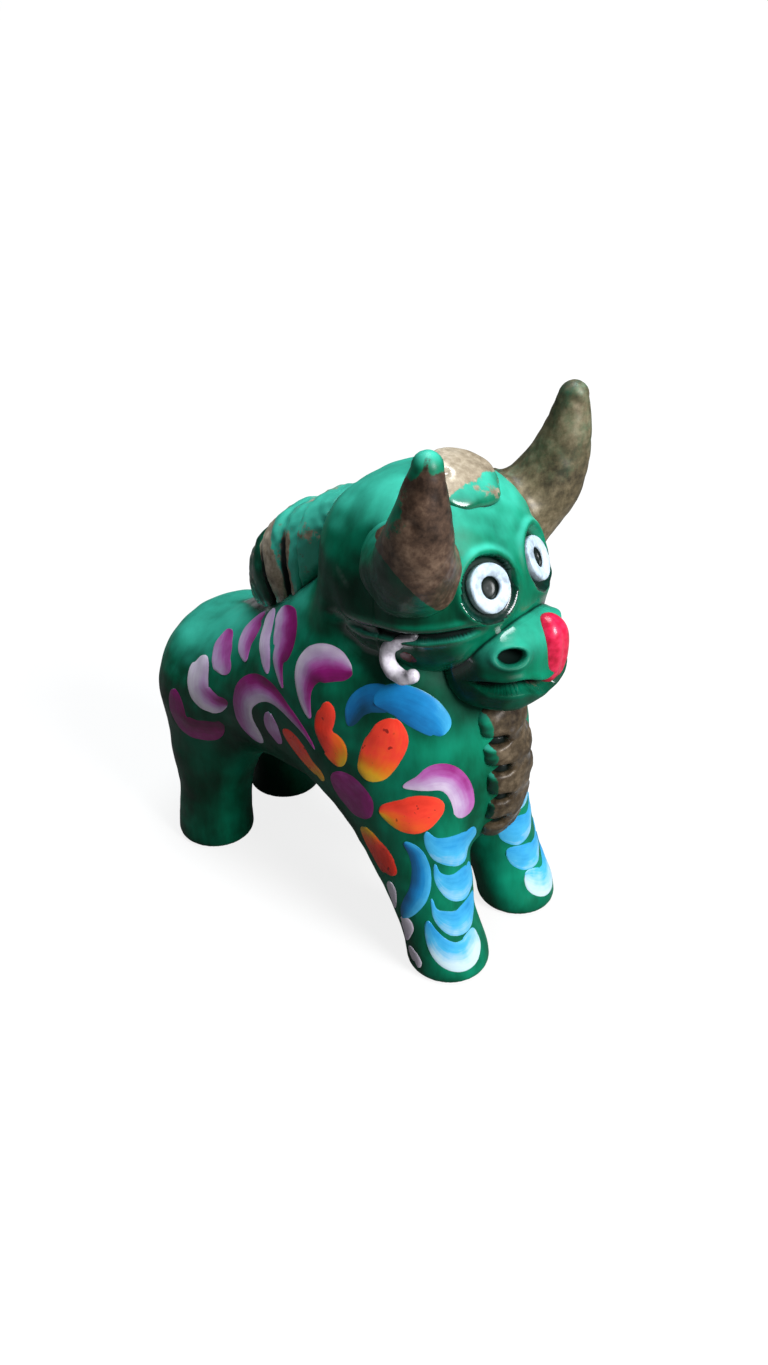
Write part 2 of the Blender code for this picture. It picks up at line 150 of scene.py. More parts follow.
def tubeFaces(ringCount, around):
    # faces of rings joined end to end, closed round, with a pole point after the last ring
    # point at either end; corner UVs run along (u) and round (v)
    i, j = np.meshgrid(np.arange(ringCount - 1), np.arange(around), indexing="ij")
    k = (j + 1) % around
    quads = np.stack([i * around + j, i * around + k, (i + 1) * around + k, (i + 1) * around + j], -1)
    u0, u1 = (i + 1) / (ringCount + 1), (i + 2) / (ringCount + 1)
    v0, v1 = j / around, (j + 1) / around
    uvQuads = np.stack([np.stack(c, -1) for c in ((u0, v0), (u0, v1), (u1, v1), (u1, v0))], -2)
    j = np.arange(around)
    k = (j + 1) % around
    first, last = ringCount * around, ringCount * around + 1
    base = (ringCount - 1) * around
    start = np.stack([np.full(around, first), k, j], -1)
    end = np.stack([np.full(around, last), base + j, base + k], -1)
    mid = (j + 0.5) / around
    e0, e1 = 1 / (ringCount + 1), ringCount / (ringCount + 1)
    uvStart = np.stack([np.stack(c, -1) for c in (
        (0 * mid, mid), (0 * mid + e0, (j + 1) / around), (0 * mid + e0, j / around))], -2)
    uvEnd = np.stack([np.stack(c, -1) for c in (
        (0 * mid + 1, mid), (0 * mid + e1, j / around), (0 * mid + e1, (j + 1) / around))], -2)
    return quads.reshape(-1, 4), np.concatenate([start, end]), (
        uvQuads.reshape(-1, 4, 2), np.concatenate([uvStart, uvEnd]))


def tubePoints(rings, start, end):
    return np.concatenate([rings.reshape(-1, 3), [start], [end]])


def ringOutward(rings, start, end):
    # unit way out from the middle of each ring, for lumps pushed in and out of a coil
    points = tubePoints(rings, start, end)
    middle = np.concatenate([np.repeat(rings.mean(1), rings.shape[1], axis=0), [start], [end]])
    out = points - middle
    return out / np.maximum(np.linalg.norm(out, axis=1), 1e-6)[:, None]


def clayWaves(p, size, seed, count=22):
    # smooth hand-made unevenness: sines along random directions, about one wave per size,
    # summed and scaled to roughly -1..1
    rng = np.random.default_rng(seed)
    total = np.zeros(p.shape[:-1])
    for _ in range(count):
        way = rng.normal(size=3)
        way *= 2 * math.pi / size * rng.uniform(0.6, 1.3) / np.linalg.norm(way)
        total += np.sin(p @ way + rng.uniform(0, 2 * math.pi))
    return total / math.sqrt(count)


def joinForms(a, b, k):
    # smooth union of two distances, rounded over about k
    h = np.clip(0.5 + 0.5 * (b - a) / k, 0, 1)
    return b + (a - b) * h - k * h * (1 - h)


def cutForms(a, b, k):
    # smooth intersection, the same curve turned over
    return -joinForms(-a, -b, k)


def fade(x, low, high):
    # 0 below low, 1 above high, a smooth step between
    t = np.clip((x - low) / (high - low), 0, 1)
    return t * t * (3 - 2 * t)


def bell(x, half):
    # 1 at zero, falling off over about half
    return np.exp(-(x / half) ** 2)


def cubicThrough(place, rows, slope, at):
    # cubics from row to row that keep the slope given at each row; one array per column
    low = np.clip(np.searchsorted(place, at, side="right") - 1, 0, len(place) - 2)
    span = place[low + 1] - place[low]
    u = (at - place[low]) / span
    a, b = 2 * u**3 - 3 * u**2 + 1, (u**3 - 2 * u**2 + u) * span
    c, d = 3 * u**2 - 2 * u**3, (u**3 - u**2) * span
    return [a * rows[low, k] + b * slope[low, k] + c * rows[low + 1, k] + d * slope[low + 1, k]
            for k in range(rows.shape[1])]


def stationCurve(rows, at):
    # smooth curve through rows of numbers, level at both ends; each row starts with its place
    rows = np.asarray(rows, float)
    place = rows[:, 0]
    slope = np.zeros_like(rows)
    slope[1:-1] = (rows[2:] - rows[:-2]) / (place[2:] - place[:-2])[:, None]
    return cubicThrough(place, rows[:, 1:], slope[:, 1:], np.clip(at, place[0], place[-1]))


def slopeOf(field, p, step=0.02):
    # gradient of a field by central differences
    parts = []
    for axis in range(3):
        shift = np.zeros(3)
        shift[axis] = step
        parts.append((field(p + shift) - field(p - shift)) / (2 * step))
    return np.stack(parts, -1)


def settleOn(field, p, rounds=5):
    # move points along the gradient until the field is zero
    for _ in range(rounds):
        g = slopeOf(field, p)
        p = p - (field(p) / np.maximum((g * g).sum(-1), 1e-6))[..., None] * g
    return p


def outward(field, p):
    g = slopeOf(field, p)
    return g / np.maximum(np.linalg.norm(g, axis=-1), 1e-9)[..., None]


# forms of the barrel, legs and head, the same sizes as the solids
barrel = {
    # y, half width, underside, top, from breast to rump
    "stations": [(-12.0, 14.0, 14.6, 54.0), (-5.0, 14.8, 15.8, 55.0), (2.0, 14.3, 16.6, 50.3),
                 (10.0, 13.4, 17.0, 43.8), (17.0, 13.2, 16.8, 39.2), (24.0, 12.4, 16.5, 36.3)],
    "rumpLength": 8.4, "rumpPole": 26.0, "chestLength": 14.0, "chestPole": 28.0,
    "humpNarrowing": 0.10, "humpLow": 11.0, "humpHigh": 21.0,
    "neckBack": 2.8, "neckDrop": 0.4, "neckFront": -13.5, "neckFillet": 4.0,
}
legs = {
    # height, inward, backward, half width, half depth, from the foot up
    "front": {"foot": (8.4, -22.6), "rows": [
        (0.0, 0.0, 0.0, 5.6, 5.6), (8.0, 0.4, 3.1, 5.4, 5.9), (16.0, 1.1, 7.2, 5.8, 8.5),
        (24.0, 1.5, 10.4, 6.8, 10.7), (34.0, 2.0, 12.4, 6.2, 9.8)]},
    "rear": {"foot": (7.9, 22.3), "rows": [
        (0.0, 0.0, 0.0, 5.7, 5.8), (9.0, 0.4, -0.3, 5.5, 5.6), (16.0, 0.9, -0.7, 6.1, 7.4),
        (23.0, 1.5, -1.3, 6.4, 9.0), (30.0, 2.1, -2.4, 5.6, 8.2)]},
    "shoulderFillet": 3.2, "footEdge": 1.1,
}
headForm = {"middle": (0.0, -14.0, 53.36), "half": (12.5, 10.9, 12.6), "power": 2.4, "tilt": 31.0}


def roundOff(share, power):
    return (1 - np.clip(share, 0, 0.99995) ** power) ** (1 / power)


def barrelSection(y):
    # half width, underside and top at y; both ends close as rounded quarter outlines
    half, under, top = stationCurve(barrel["stations"], y)
    fore = (barrel["stations"][0][0] - y) / barrel["chestLength"]
    rear = (y - barrel["stations"][-1][0]) / barrel["rumpLength"]
    ahead = fore > 0
    pole = np.where(ahead, barrel["chestPole"], barrel["rumpPole"])
    half = half * np.where(ahead, roundOff(fore, 1.75), roundOff(rear, 2.0))
    top = pole + (top - pole) * np.where(ahead, roundOff(fore, 1.5), roundOff(rear, 2.0))
    under = pole + (under - pole) * np.where(ahead, roundOff(fore, 3.0), roundOff(rear, 2.0))
    return half, under, top


def barrelField(p):
    # oval section whose upper half narrows where the hump is tall
    half, under, top = barrelSection(p[..., 1])
    rise = (top - under) / 2
    w = (p[..., 2] - under - rise) / rise
    tall = np.clip((rise - barrel["humpLow"]) / (barrel["humpHigh"] - barrel["humpLow"]), 0, 1)
    width = half * (1 - barrel["humpNarrowing"] * tall * np.clip(w, -1, 1))
    q = np.sqrt((p[..., 0] / width) ** 2 + w**2)
    ahead = barrel["stations"][0][0] - barrel["chestLength"] - p[..., 1]
    behind = p[..., 1] - barrel["stations"][-1][0] - barrel["rumpLength"]
    return np.maximum((q - 1) * np.minimum(width, rise), np.maximum(ahead, behind))


def legField(p, leg):
    # oval section that wanders inward and back as it climbs, rounded off at the top, both sides at once
    inward, back, halfWidth, halfDepth = stationCurve(leg["rows"], p[..., 2])
    q = np.sqrt(((np.abs(p[..., 0]) - leg["foot"][0] + inward) / halfWidth) ** 2
                + ((p[..., 1] - leg["foot"][1] - back) / halfDepth) ** 2)
    return cutForms((q - 1) * np.minimum(halfWidth, halfDepth), p[..., 2] - leg["rows"][-1][0], 7.0)


headWide, headDeep, headTall = headForm["half"]
headTilt = math.radians(headForm["tilt"])
headAxes = np.array([[1, 0, 0],
                     [0, -math.cos(headTilt), math.sin(headTilt)],
                     [0, math.sin(headTilt), math.cos(headTilt)]])   # sideways, out of the face, up the face


def toHead(p):
    return (p - np.array(headForm["middle"])) @ headAxes.T


def fromHead(q):
    return np.asarray(q, float) @ headAxes + np.array(headForm["middle"])


def eggDistance(q, half, power):
    # power-sum egg, scaled to be close to millimetres near its surface
    k = (np.abs(q / np.asarray(half)) ** power).sum(-1) ** (1 / power)
    return (k - 1) * min(half)


def headEgg(p):
    return eggDistance(toHead(p), headForm["half"], headForm["power"])


muzzle = {"middle": (0.0, -23.2, 44.56), "half": (7.4, 6.6, 6.0), "power": 3.0, "tilt": 6.0,
          "nostril": (5.3, -27.7, 47.9), "nostrilHalf": (1.7, 1.7, 1.0), "nostrilRim": 0.22,
          "mouthHeight": 42.4, "mouthRise": 1.8, "mouthHalf": 0.8, "mouthBack": -22.4, "mouthDepth": 1.8}
muzzleTurn = math.radians(muzzle["tilt"])
muzzleAxes = np.array([[1, 0, 0], [0, math.cos(muzzleTurn), -math.sin(muzzleTurn)],
                       [0, math.sin(muzzleTurn), math.cos(muzzleTurn)]])


def muzzleEgg(p):
    return eggDistance((p - np.array(muzzle["middle"])) @ muzzleAxes.T, muzzle["half"], muzzle["power"])


def neckEgg(p):
    # the nape: the head ball drawn back in steps, cut off inside the head
    d = np.full(p.shape[:-1], 1e9)
    for share in (0.08, 0.3, 0.53, 0.76, 1.0):
        d = np.minimum(d, headEgg(p - share * np.array([0.0, barrel["neckBack"], -barrel["neckDrop"]])))
    return np.maximum(d, barrel["neckFront"] - p[..., 1])


def faceDepth(x, z):
    # how far the head's egg stands out of its middle plane at a place on the face
    k = headForm["power"]
    return headDeep * (1 - abs(x / headWide) ** k - abs(z / headTall) ** k) ** (1 / k)


cheek = {"height": 48.8, "bow": 0.0068, "middle": -4.7, "depth": 0.7, "half": 0.45, "lip": 0.22,
         "front": -26.0, "rear": -3.5, "streak": [(-12.1, -7.4, 55.7), (-12.35, -9.0, 54.2)]}


def cheekGroove(p):
    # share of the crease, height above it and how far it is pressed along the head, on both sides
    y = p[..., 1]
    above = p[..., 2] - cheek["height"] - cheek["bow"] * (y - cheek["middle"]) ** 2
    reach = fade(np.abs(p[..., 0]), 5.0, 7.5) * fade(y, cheek["front"], cheek["front"] + 3)
    reach = reach * fade(-y, -cheek["rear"], -cheek["rear"] + 9)
    return bell(above, cheek["half"]) * reach, above, reach


def handWork(p):
    # the unevenness that hands leave, the same on body and head
    return 0.10 * clayWaves(p, 8.0, 3) + 0.03 * clayWaves(p, 2.6, 4)


def cheekPress(p):
    # the crease under the cheek, pressed in, between two raised lips
    groove, above, reach = cheekGroove(p)
    return cheek["depth"] * groove - cheek["lip"] * bell(np.abs(above) - 1.0, 0.5) * reach


def cheekHollow(p):
    # hollow mark of that crease: painted shade in it and wet lips beside it
    _, above, reach = cheekGroove(p)
    return 0.95 * reach * np.exp(-np.maximum(2.0 * np.abs(above) - 0.8, 0))


def underJaw(p):
    # 1 below the jaw, little beside the head, so that painted shade in the creases stays low under the head
    return 1 - 0.9 * fade(p[..., 2], 49.0, 54.0)


def bodyForm(p):
    # barrel joined to the legs with smeared fillets, and to the nape with one that tightens
    # to a crease under the cheeks
    d = joinForms(barrelField(p), legField(p, legs["front"]), legs["shoulderFillet"])
    d = joinForms(d, legField(p, legs["rear"]), legs["shoulderFillet"])
    smooth = np.maximum(fade(p[..., 2], 49.0, 56.0), fade(p[..., 1], -9.0, -4.0))
    d = joinForms(d, neckEgg(p), 0.4 + barrel["neckFillet"] * smooth)
    return cutForms(d, -p[..., 2], legs["footEdge"])


def bodyField(p):
    # the same with the unevenness that hands leave, calm at the soles, and the cheek crease
    return bodyForm(p) + fade(p[..., 2], 0.5, 4.0) * handWork(p) + cheekPress(p)


# Paint and varnish. The hollow mark is 1 deep in a crease and falls off outside it; it darkens the paint
# there as painted shade.
# the paint's own deep, mid and light greens, then a painted shade for the sides, a painted highlight for the
# tops and a near-black painted shade for creases
greens = {"deep": "#034a31", "mid": "#056f50", "light": "#0b8a69", "thick": "#022818",
          "rubbed": "#40bca2", "creaseShade": "#01110c"}
bronzes = {
    "horn": {"dark": "#2d2119", "mid": "#523f32", "light": "#786250"},
    "wiped": {"dark": "#3a3425", "mid": "#60563f", "light": "#84785e"},
    "crest": {"dark": "#6b5c4a", "mid": "#a5957d", "light": "#d0c4ae"},
    "strip": {"dark": "#2a2118", "mid": "#4c402f", "light": "#73644f"},
    "pad": {"dark": "#7a6d59", "mid": "#9f927c", "light": "#c0b49e"},
}
buffClay = "#8a7a50"
flakeDark = "#3a0f12"
chipLevel = 1.09


def greenCoat(tree, place):
    # brushed oil green: clouds about 9 mm across under brush streaks 2.2 mm wide
    cloud = addNode(tree, "TexNoise", {"Scale": 1000 / 9.0, "Detail": 2.0}, {"Vector": place})
    drawn = addNode(tree, "Mapping", {"Scale": (1.0, 1.0, 0.35)}, {"Vector": place})
    streak = addNode(tree, "TexNoise", {"Scale": 1000 / 2.2, "Detail": 3.0, "Roughness": 0.6},
                     {"Vector": drawn})
    tone = addNode(tree, "Mix", {0: 0.35}, {2: cloud, 3: streak})
    coat = addNode(tree, "ValToRGB", {"stops": [
        (0.36, greens["deep"]), (0.5, greens["mid"]), (0.66, greens["light"])]}, {"Fac": tone})
    # painted shade darkens the green by one mark and a painted highlight makes it paler by another, both
    # unevenly
    thick = addNode(tree, "Attribute", {"attribute_name": "thick"}, out="Fac")
    uneven = addNode(tree, "MapRange", {"From Min": 0.3, "From Max": 0.6, "To Min": 1.0, "To Max": 0.7},
                     {"Value": tone})
    share = addNode(tree, "Math", {"operation": "MULTIPLY"}, {0: thick, 1: uneven})
    coat = addNode(tree, "Mix", {"data_type": "RGBA", 7: hexColour(greens["thick"])}, {0: share, 6: coat}, 2)
    rubbed = addNode(tree, "Attribute", {"attribute_name": "rubbed"}, out="Fac")
    uneven = addNode(tree, "MapRange", {"From Min": 0.3, "From Max": 0.6, "To Min": 0.45, "To Max": 0.9},
                     {"Value": tone})
    share = addNode(tree, "Math", {"operation": "MULTIPLY"}, {0: rubbed, 1: uneven})
    return addNode(tree, "Mix", {"data_type": "RGBA", 7: hexColour(greens["rubbed"])}, {0: share, 6: coat}, 2)


def brushedBump(tree, place, distance):
    # paint film: brush ridges 0.7 mm apart over soft lumps 2.4 mm across; distance in metres
    lumps = addNode(tree, "TexNoise", {"Scale": 1000 / 2.4, "Detail": 2.0}, {"Vector": place})
    drawn = addNode(tree, "Mapping", {"Scale": (1.0, 1.0, 0.4)}, {"Vector": place})
    ridges = addNode(tree, "TexNoise", {"Scale": 1000 / 0.7, "Detail": 2.0}, {"Vector": drawn})
    height = addNode(tree, "Mix", {0: 0.28}, {2: lumps, 3: ridges})
    return addNode(tree, "Bump", {"Strength": 0.4, "Distance": distance}, {"Height": height})


def creasePaint(tree, place, colour):
    # varnish runs off the broad surfaces and gathers beside a crease, so the lips of the crease
    # shine wet while its floor is dull; the colour is darkened in the crease as painted shade;
    # gives colour, roughness and varnish
    hollow = addNode(tree, "Attribute", {"attribute_name": "hollow"}, out="Fac")
    mottle = addNode(tree, "TexNoise", {"Scale": 1000 / 1.6, "Detail": 2.0}, {"Vector": place})
    depth = addNode(tree, "Math", {"operation": "MULTIPLY_ADD", 1: 0.2, 2: -0.1}, {0: mottle})
    depth = addNode(tree, "Math", {"operation": "ADD"}, {0: depth, 1: hollow})
    creaseShaded = addNode(tree, "MapRange", {
        "interpolation_type": "SMOOTHSTEP", "From Min": 0.3, "From Max": 0.95}, {"Value": depth})
    colour = addNode(tree, "Mix", {"data_type": "RGBA", 7: hexColour(greens["creaseShade"])},
                     {0: creaseShaded, 6: colour}, 2)
    wet = addNode(tree, "MapRange", {"From Min": 0.03, "From Max": 0.22}, {"Value": hollow})
    dull = addNode(tree, "MapRange", {"From Min": 0.8, "From Max": 1.0}, {"Value": hollow})
    wet = addNode(tree, "Math", {"operation": "SUBTRACT", "use_clamp": True}, {0: wet, 1: dull})
    cloud = addNode(tree, "TexNoise", {"Scale": 1000 / 4.0, "Detail": 2.0}, {"Vector": place})
    rough = addNode(tree, "MapRange", {"From Min": 0.3, "From Max": 0.7, "To Min": 0.36, "To Max": 0.48},
                    {"Value": cloud})
    rough = addNode(tree, "Math", {"operation": "MULTIPLY_ADD", 1: -0.22}, {0: wet, 2: rough})
    return colour, addNode(tree, "Math", {"operation": "MULTIPLY_ADD", 1: 0.4}, {0: dull, 2: rough}), wet


def varnishedGreen(name):
    # green oil paint brushed on fired clay and rubbed with varnish: deep satin colour, wet
    # highlights only along the creases
    material, tree, shader = newMaterial(name, {
        "IOR": 1.5, "Specular IOR Level": 0.12, "Coat Roughness": 0.1})
    place = addNode(tree, "TexCoord", out="Object")
    colour, rough, wet = creasePaint(tree, place, greenCoat(tree, place))
    tree.links.new(colour, shader.inputs["Base Color"])
    tree.links.new(rough, shader.inputs["Roughness"])
    tree.links.new(wet, shader.inputs["Coat Weight"])
    tree.links.new(brushedBump(tree, place, 0.00009), shader.inputs["Normal"])
    return material


def wornBronze(name, tones, chipSize, soft=0.05):
    # bronze-powder paint rubbed over the green: dull brown-gold with fine specks, chipped
    # through to the green where the worn mark is high; chips have sharp ragged edges unless
    # the paint was wiped on thin, which leaves them soft
    material, tree, shader = newMaterial(name, {
        "IOR": 1.5, "Specular IOR Level": 0.3, "Coat Roughness": 0.12})
    place = addNode(tree, "TexCoord", out="Object")
    grain = addNode(tree, "TexNoise", {"Scale": 1000 / 0.9, "Detail": 4.0, "Roughness": 0.65},
                    {"Vector": place})
    cloud = addNode(tree, "TexNoise", {"Scale": 1000 / 6.0, "Detail": 2.0}, {"Vector": place})
    tone = addNode(tree, "Mix", {0: 0.5}, {2: grain, 3: cloud})
    bronze = addNode(tree, "ValToRGB", {"stops": [
        (0.36, tones["dark"]), (0.5, tones["mid"]), (0.64, tones["light"])]}, {"Fac": tone})
    worn = addNode(tree, "Attribute", {"attribute_name": "worn"}, out="Fac")
    chips = addNode(tree, "TexNoise", {"Scale": 1000 / chipSize, "Detail": 5.0, "Roughness": 0.62},
                    {"Vector": place})
    specks = addNode(tree, "TexNoise", {"Scale": 1000 / 0.8, "Detail": 3.0, "Roughness": 0.7},
                     {"Vector": place})
    wear = addNode(tree, "Math", {"operation": "MULTIPLY_ADD", 1: 0.9}, {0: chips, 2: worn})
    wear = addNode(tree, "Math", {"operation": "MULTIPLY_ADD", 1: 0.3}, {0: specks, 2: wear})
    bare = addNode(tree, "MapRange", {
        "interpolation_type": "SMOOTHSTEP", "From Min": chipLevel - soft, "From Max": chipLevel + soft,
    }, {"Value": wear})
    colour = addNode(tree, "Mix", {"data_type": "RGBA"}, {0: bare, 6: bronze, 7: greenCoat(tree, place)}, 2)
    colour, rough, wet = creasePaint(tree, place, colour)
    metal = addNode(tree, "MapRange", {"To Min": 0.1, "To Max": 0.0}, {"Value": bare})
    tree.links.new(colour, shader.inputs["Base Color"])
    tree.links.new(rough, shader.inputs["Roughness"])
    tree.links.new(wet, shader.inputs["Coat Weight"])
    tree.links.new(metal, shader.inputs["Metallic"])
    tree.links.new(brushedBump(tree, place, 0.00014), shader.inputs["Normal"])
    return material


def flatPaint(name, stops, size, roughness):
    # one-colour dab of oil paint, uneven where the brush left it thin; the clay mark leaves
    # bare buff clay, and hollows are darkened as painted shade
    material, tree, shader = newMaterial(name, {
        "IOR": 1.5, "Specular IOR Level": 0.3, "Coat Weight": 0.15, "Coat Roughness": 0.12,
        "Roughness": roughness})
    place = addNode(tree, "TexCoord", out="Object")
    cloud = addNode(tree, "TexNoise", {"Scale": 1000 / size, "Detail": 4.0, "Roughness": 0.6},
                    {"Vector": place})
    fine = addNode(tree, "TexNoise", {"Scale": 4000 / size, "Detail": 3.0}, {"Vector": place})
    tone = addNode(tree, "Mix", {0: 0.3}, {2: cloud, 3: fine})
    colour = addNode(tree, "ValToRGB", {"stops": stops}, {"Fac": tone})
    clay = addNode(tree, "Attribute", {"attribute_name": "clay"}, out="Fac")
    colour = addNode(tree, "Mix", {"data_type": "RGBA", 7: hexColour(buffClay)}, {0: clay, 6: colour}, 2)
    hollow = addNode(tree, "Attribute", {"attribute_name": "hollow"}, out="Fac")
    creaseShaded = addNode(tree, "MapRange", {"interpolation_type": "SMOOTHSTEP", "From Min": 0.3, "From Max": 0.9},
                     {"Value": hollow})
    colour = addNode(tree, "Mix", {"data_type": "RGBA", 7: hexColour(greens["creaseShade"])},
                     {0: creaseShaded, 6: colour}, 2)
    tree.links.new(colour, shader.inputs["Base Color"])
    tree.links.new(brushedBump(tree, place, 0.0001), shader.inputs["Normal"])
    return material


def brushStroke(name, stops, specked=0.0):
    # loaded-brush stroke of oil paint: the tint mark says how much pale paint the brush
    # carried there, bristle lines run along it, its thin rim lets the green through and
    # a share of dark specks shows where it flaked
    material, tree, shader = newMaterial(name, {
        "IOR": 1.5, "Specular IOR Level": 0.25, "Coat Weight": 0.06, "Coat Roughness": 0.12,
        "Roughness": 0.38})
    place = addNode(tree, "TexCoord", out="Object")
    uv = addNode(tree, "UVMap", {"uv_map": "stroke"})
    bristles = addNode(tree, "Mapping", {"Scale": (2.5, 22.0, 1.0)}, {"Vector": uv})
    lines = addNode(tree, "TexNoise", {"Scale": 1.0, "Detail": 3.0, "Roughness": 0.6}, {"Vector": bristles})
    mottle = addNode(tree, "TexNoise", {"Scale": 1000 / 1.6, "Detail": 3.0}, {"Vector": place})
    load = addNode(tree, "Attribute", {"attribute_name": "tint"}, out="Fac")
    tint = addNode(tree, "Math", {"operation": "MULTIPLY_ADD", 1: 0.2}, {0: lines, 2: load})
    tint = addNode(tree, "Math", {"operation": "MULTIPLY_ADD", 1: 0.2}, {0: mottle, 2: tint})
    tint = addNode(tree, "Math", {"operation": "SUBTRACT", 1: 0.2, "use_clamp": True}, {0: tint})
    paint = addNode(tree, "ValToRGB", {"stops": stops}, {"Fac": tint})
    flakes = addNode(tree, "TexNoise", {"Scale": 1000 / 0.9, "Detail": 1.0}, {"Vector": place})
    flakes = addNode(tree, "MapRange", {"From Min": 0.69, "From Max": 0.75, "To Max": specked},
                     {"Value": flakes})
    paint = addNode(tree, "Mix", {"data_type": "RGBA", 7: hexColour(flakeDark)}, {0: flakes, 6: paint}, 2)
    rim = addNode(tree, "Attribute", {"attribute_name": "rim"}, out="Fac")
    edge = addNode(tree, "Math", {"operation": "MULTIPLY_ADD", 1: 0.25}, {0: mottle, 2: rim})
    thin = addNode(tree, "MapRange", {"interpolation_type": "SMOOTHSTEP", "From Min": 0.7, "From Max": 1.1},
                   {"Value": edge})
    colour = addNode(tree, "Mix", {"data_type": "RGBA"}, {0: thin, 6: paint, 7: greenCoat(tree, place)}, 2)
    ridge = addNode(tree, "Bump", {"Strength": 0.3, "Distance": 0.00008}, {"Height": lines})
    tree.links.new(colour, shader.inputs["Base Color"])
    tree.links.new(ridge, shader.inputs["Normal"])
    return material


greenPaint = varnishedGreen("varnished_green_oil_paint")
bronzeHorn = wornBronze("worn_bronze_paint_horn", bronzes["horn"], 6.0)
bronzeWiped = wornBronze("wiped_bronze_paint_horn", bronzes["wiped"], 7.0, 0.3)
bronzeCrest = wornBronze("worn_bronze_paint_crest", bronzes["crest"], 4.0)
bronzeStrip = wornBronze("worn_bronze_paint_strip", bronzes["strip"], 4.0)
bronzePad = wornBronze("worn_bronze_paint_pad", bronzes["pad"], 3.5)
# the eye white is greyed and tinted blue as painted shade and painted sky light; the ear white below is a
# paler copy, painted light for ears that sit in shade
whitePaint = flatPaint("white_oil_paint", [(0.35, "#8e9aa4"), (0.5, "#b3c6d3"), (0.65, "#ccdae2")], 2.5, 0.4)
earPaint = flatPaint("white_oil_paint_ear", [
    (0.35, "#b4adb8"), (0.5, "#d6d0d9"), (0.65, "#eeeaf0")], 2.0, 0.35)
redPaint = flatPaint("red_oil_paint", [(0.35, "#a50f2b"), (0.5, "#c91a3f"), (0.65, "#dc2e53")], 3.0, 0.3)
darkRedPaint = flatPaint("dark_red_oil_paint", [
    (0.35, "#2c0709"), (0.5, "#4a0d10"), (0.65, "#6b1517")], 1.5, 0.4)
orangeStroke = brushStroke("orange_oil_paint", [
    (0.0, "#6e2010"), (0.2, "#de2c16"), (0.4, "#ff4632"),
    (0.6, "#ff7022"), (0.8, "#f0ae22"), (1.0, "#c8ae32")], 0.7)
purpleStroke = brushStroke("purple_oil_paint", [
    (0.0, "#300a24"), (0.2, "#680e48"), (0.4, "#901c72"),
    (0.6, "#b05fa8"), (0.8, "#c2a2ca"), (1.0, "#e2d9e6")])
blueStroke = brushStroke("blue_oil_paint", [
    (0.0, "#0a2f40"), (0.2, "#0f4c70"), (0.4, "#1266a0"),
    (0.6, "#1a86c4"), (0.8, "#46b0de"), (1.0, "#c4dce2")])
print("materials made:", len(bpy.data.materials))


def sweepRings(path, halfSide, halfUp, sideHint, around, endSteps=7):
    # oval profile carried along a path, with round ends: ring = path + side cos a + up sin a;
    # the end rings shrink as a quarter circle
    path = np.asarray(path, float)
    tangent = np.gradient(path, axis=0)
    tangent /= np.linalg.norm(tangent, axis=1)[:, None]
    side = sideHint - tangent * (tangent @ sideHint)[:, None]
    side /= np.linalg.norm(side, axis=1)[:, None]
    up = np.cross(tangent, side)
    turn = np.linspace(0, math.pi / 2, endSteps + 1)[1:-1]
    reach0, reach1 = min(halfSide[0], halfUp[0]), min(halfSide[-1], halfUp[-1])
    last = len(path) - 1
    index = np.concatenate([np.zeros(len(turn), int), np.arange(len(path)), np.full(len(turn), last)])
    scale = np.concatenate([np.cos(turn[::-1]), np.ones(len(path)), np.cos(turn)])
    shift = np.concatenate([-reach0 * np.sin(turn[::-1]), np.zeros(len(path)), reach1 * np.sin(turn)])
    centre = path[index] + tangent[index] * shift[:, None]
    a = np.linspace(0, 2 * math.pi, around, endpoint=False)
    sideways = side[index] * (halfSide[index] * scale)[:, None]
    upwards = up[index] * (halfUp[index] * scale)[:, None]
    rings = (centre[:, None] + sideways[:, None] * np.cos(a)[None, :, None]
             + upwards[:, None] * np.sin(a)[None, :, None])
    along = np.concatenate([np.zeros(len(turn)), np.linspace(0, 1, len(path)), np.ones(len(turn))])
    return rings, path[0] - tangent[0] * reach0, path[-1] + tangent[-1] * reach1, along, a


def bezier(points, t):
    # quadratic curve from start past a bend to the tip
    a, b, c = (np.asarray(q, float) for q in points)
    t = t[:, None]
    return a * (1 - t) ** 2 + b * 2 * t * (1 - t) + c * t**2


def starRings(field, centre, pole, front, tilts, around, reach, steps=40, twist=0.0, crowd=0.0):
    # surface seen from a middle point: for each tilt from the pole and turn from the front,
    # the outermost distance where the field changes sign, found by stepping in and then
    # halving. A twist per tilt lets the grid follow a cut; crowd packs the turns at the front.
    pole = np.asarray(pole, float) / np.linalg.norm(pole)
    front = np.asarray(front, float) - pole * np.dot(front, pole)
    front /= np.linalg.norm(front)
    side = np.cross(pole, front)
    tilt = np.linspace(0, math.pi, tilts + 1)
    turn = np.linspace(0, 2 * math.pi, around, endpoint=False)
    turn = (turn - crowd * np.sin(turn))[None, :] + np.broadcast_to(twist, tilt.shape)[:, None]
    way = (pole * np.cos(tilt)[:, None, None] + front * (np.sin(tilt)[:, None] * np.cos(turn))[..., None]
           + side * (np.sin(tilt)[:, None] * np.sin(turn))[..., None])
    far = np.full(way.shape[:2], reach)
    near = np.zeros(way.shape[:2])
    searching = np.ones(way.shape[:2], bool)
    for r in np.linspace(reach, 0, steps + 1)[1:]:
        inside = field(centre + way * r) < 0
        near[searching & inside] = r
        far = np.where(searching & ~inside, r, far)
        searching &= ~inside
    for _ in range(16):
        middle = (near + far) / 2
        inside = field(centre + way * middle[..., None]) < 0
        near = np.where(inside, middle, near)
        far = np.where(inside, far, middle)
    points = centre + way * ((near + far) / 2)[..., None]
    return points[1:-1], points[0, 0], points[-1, 0]


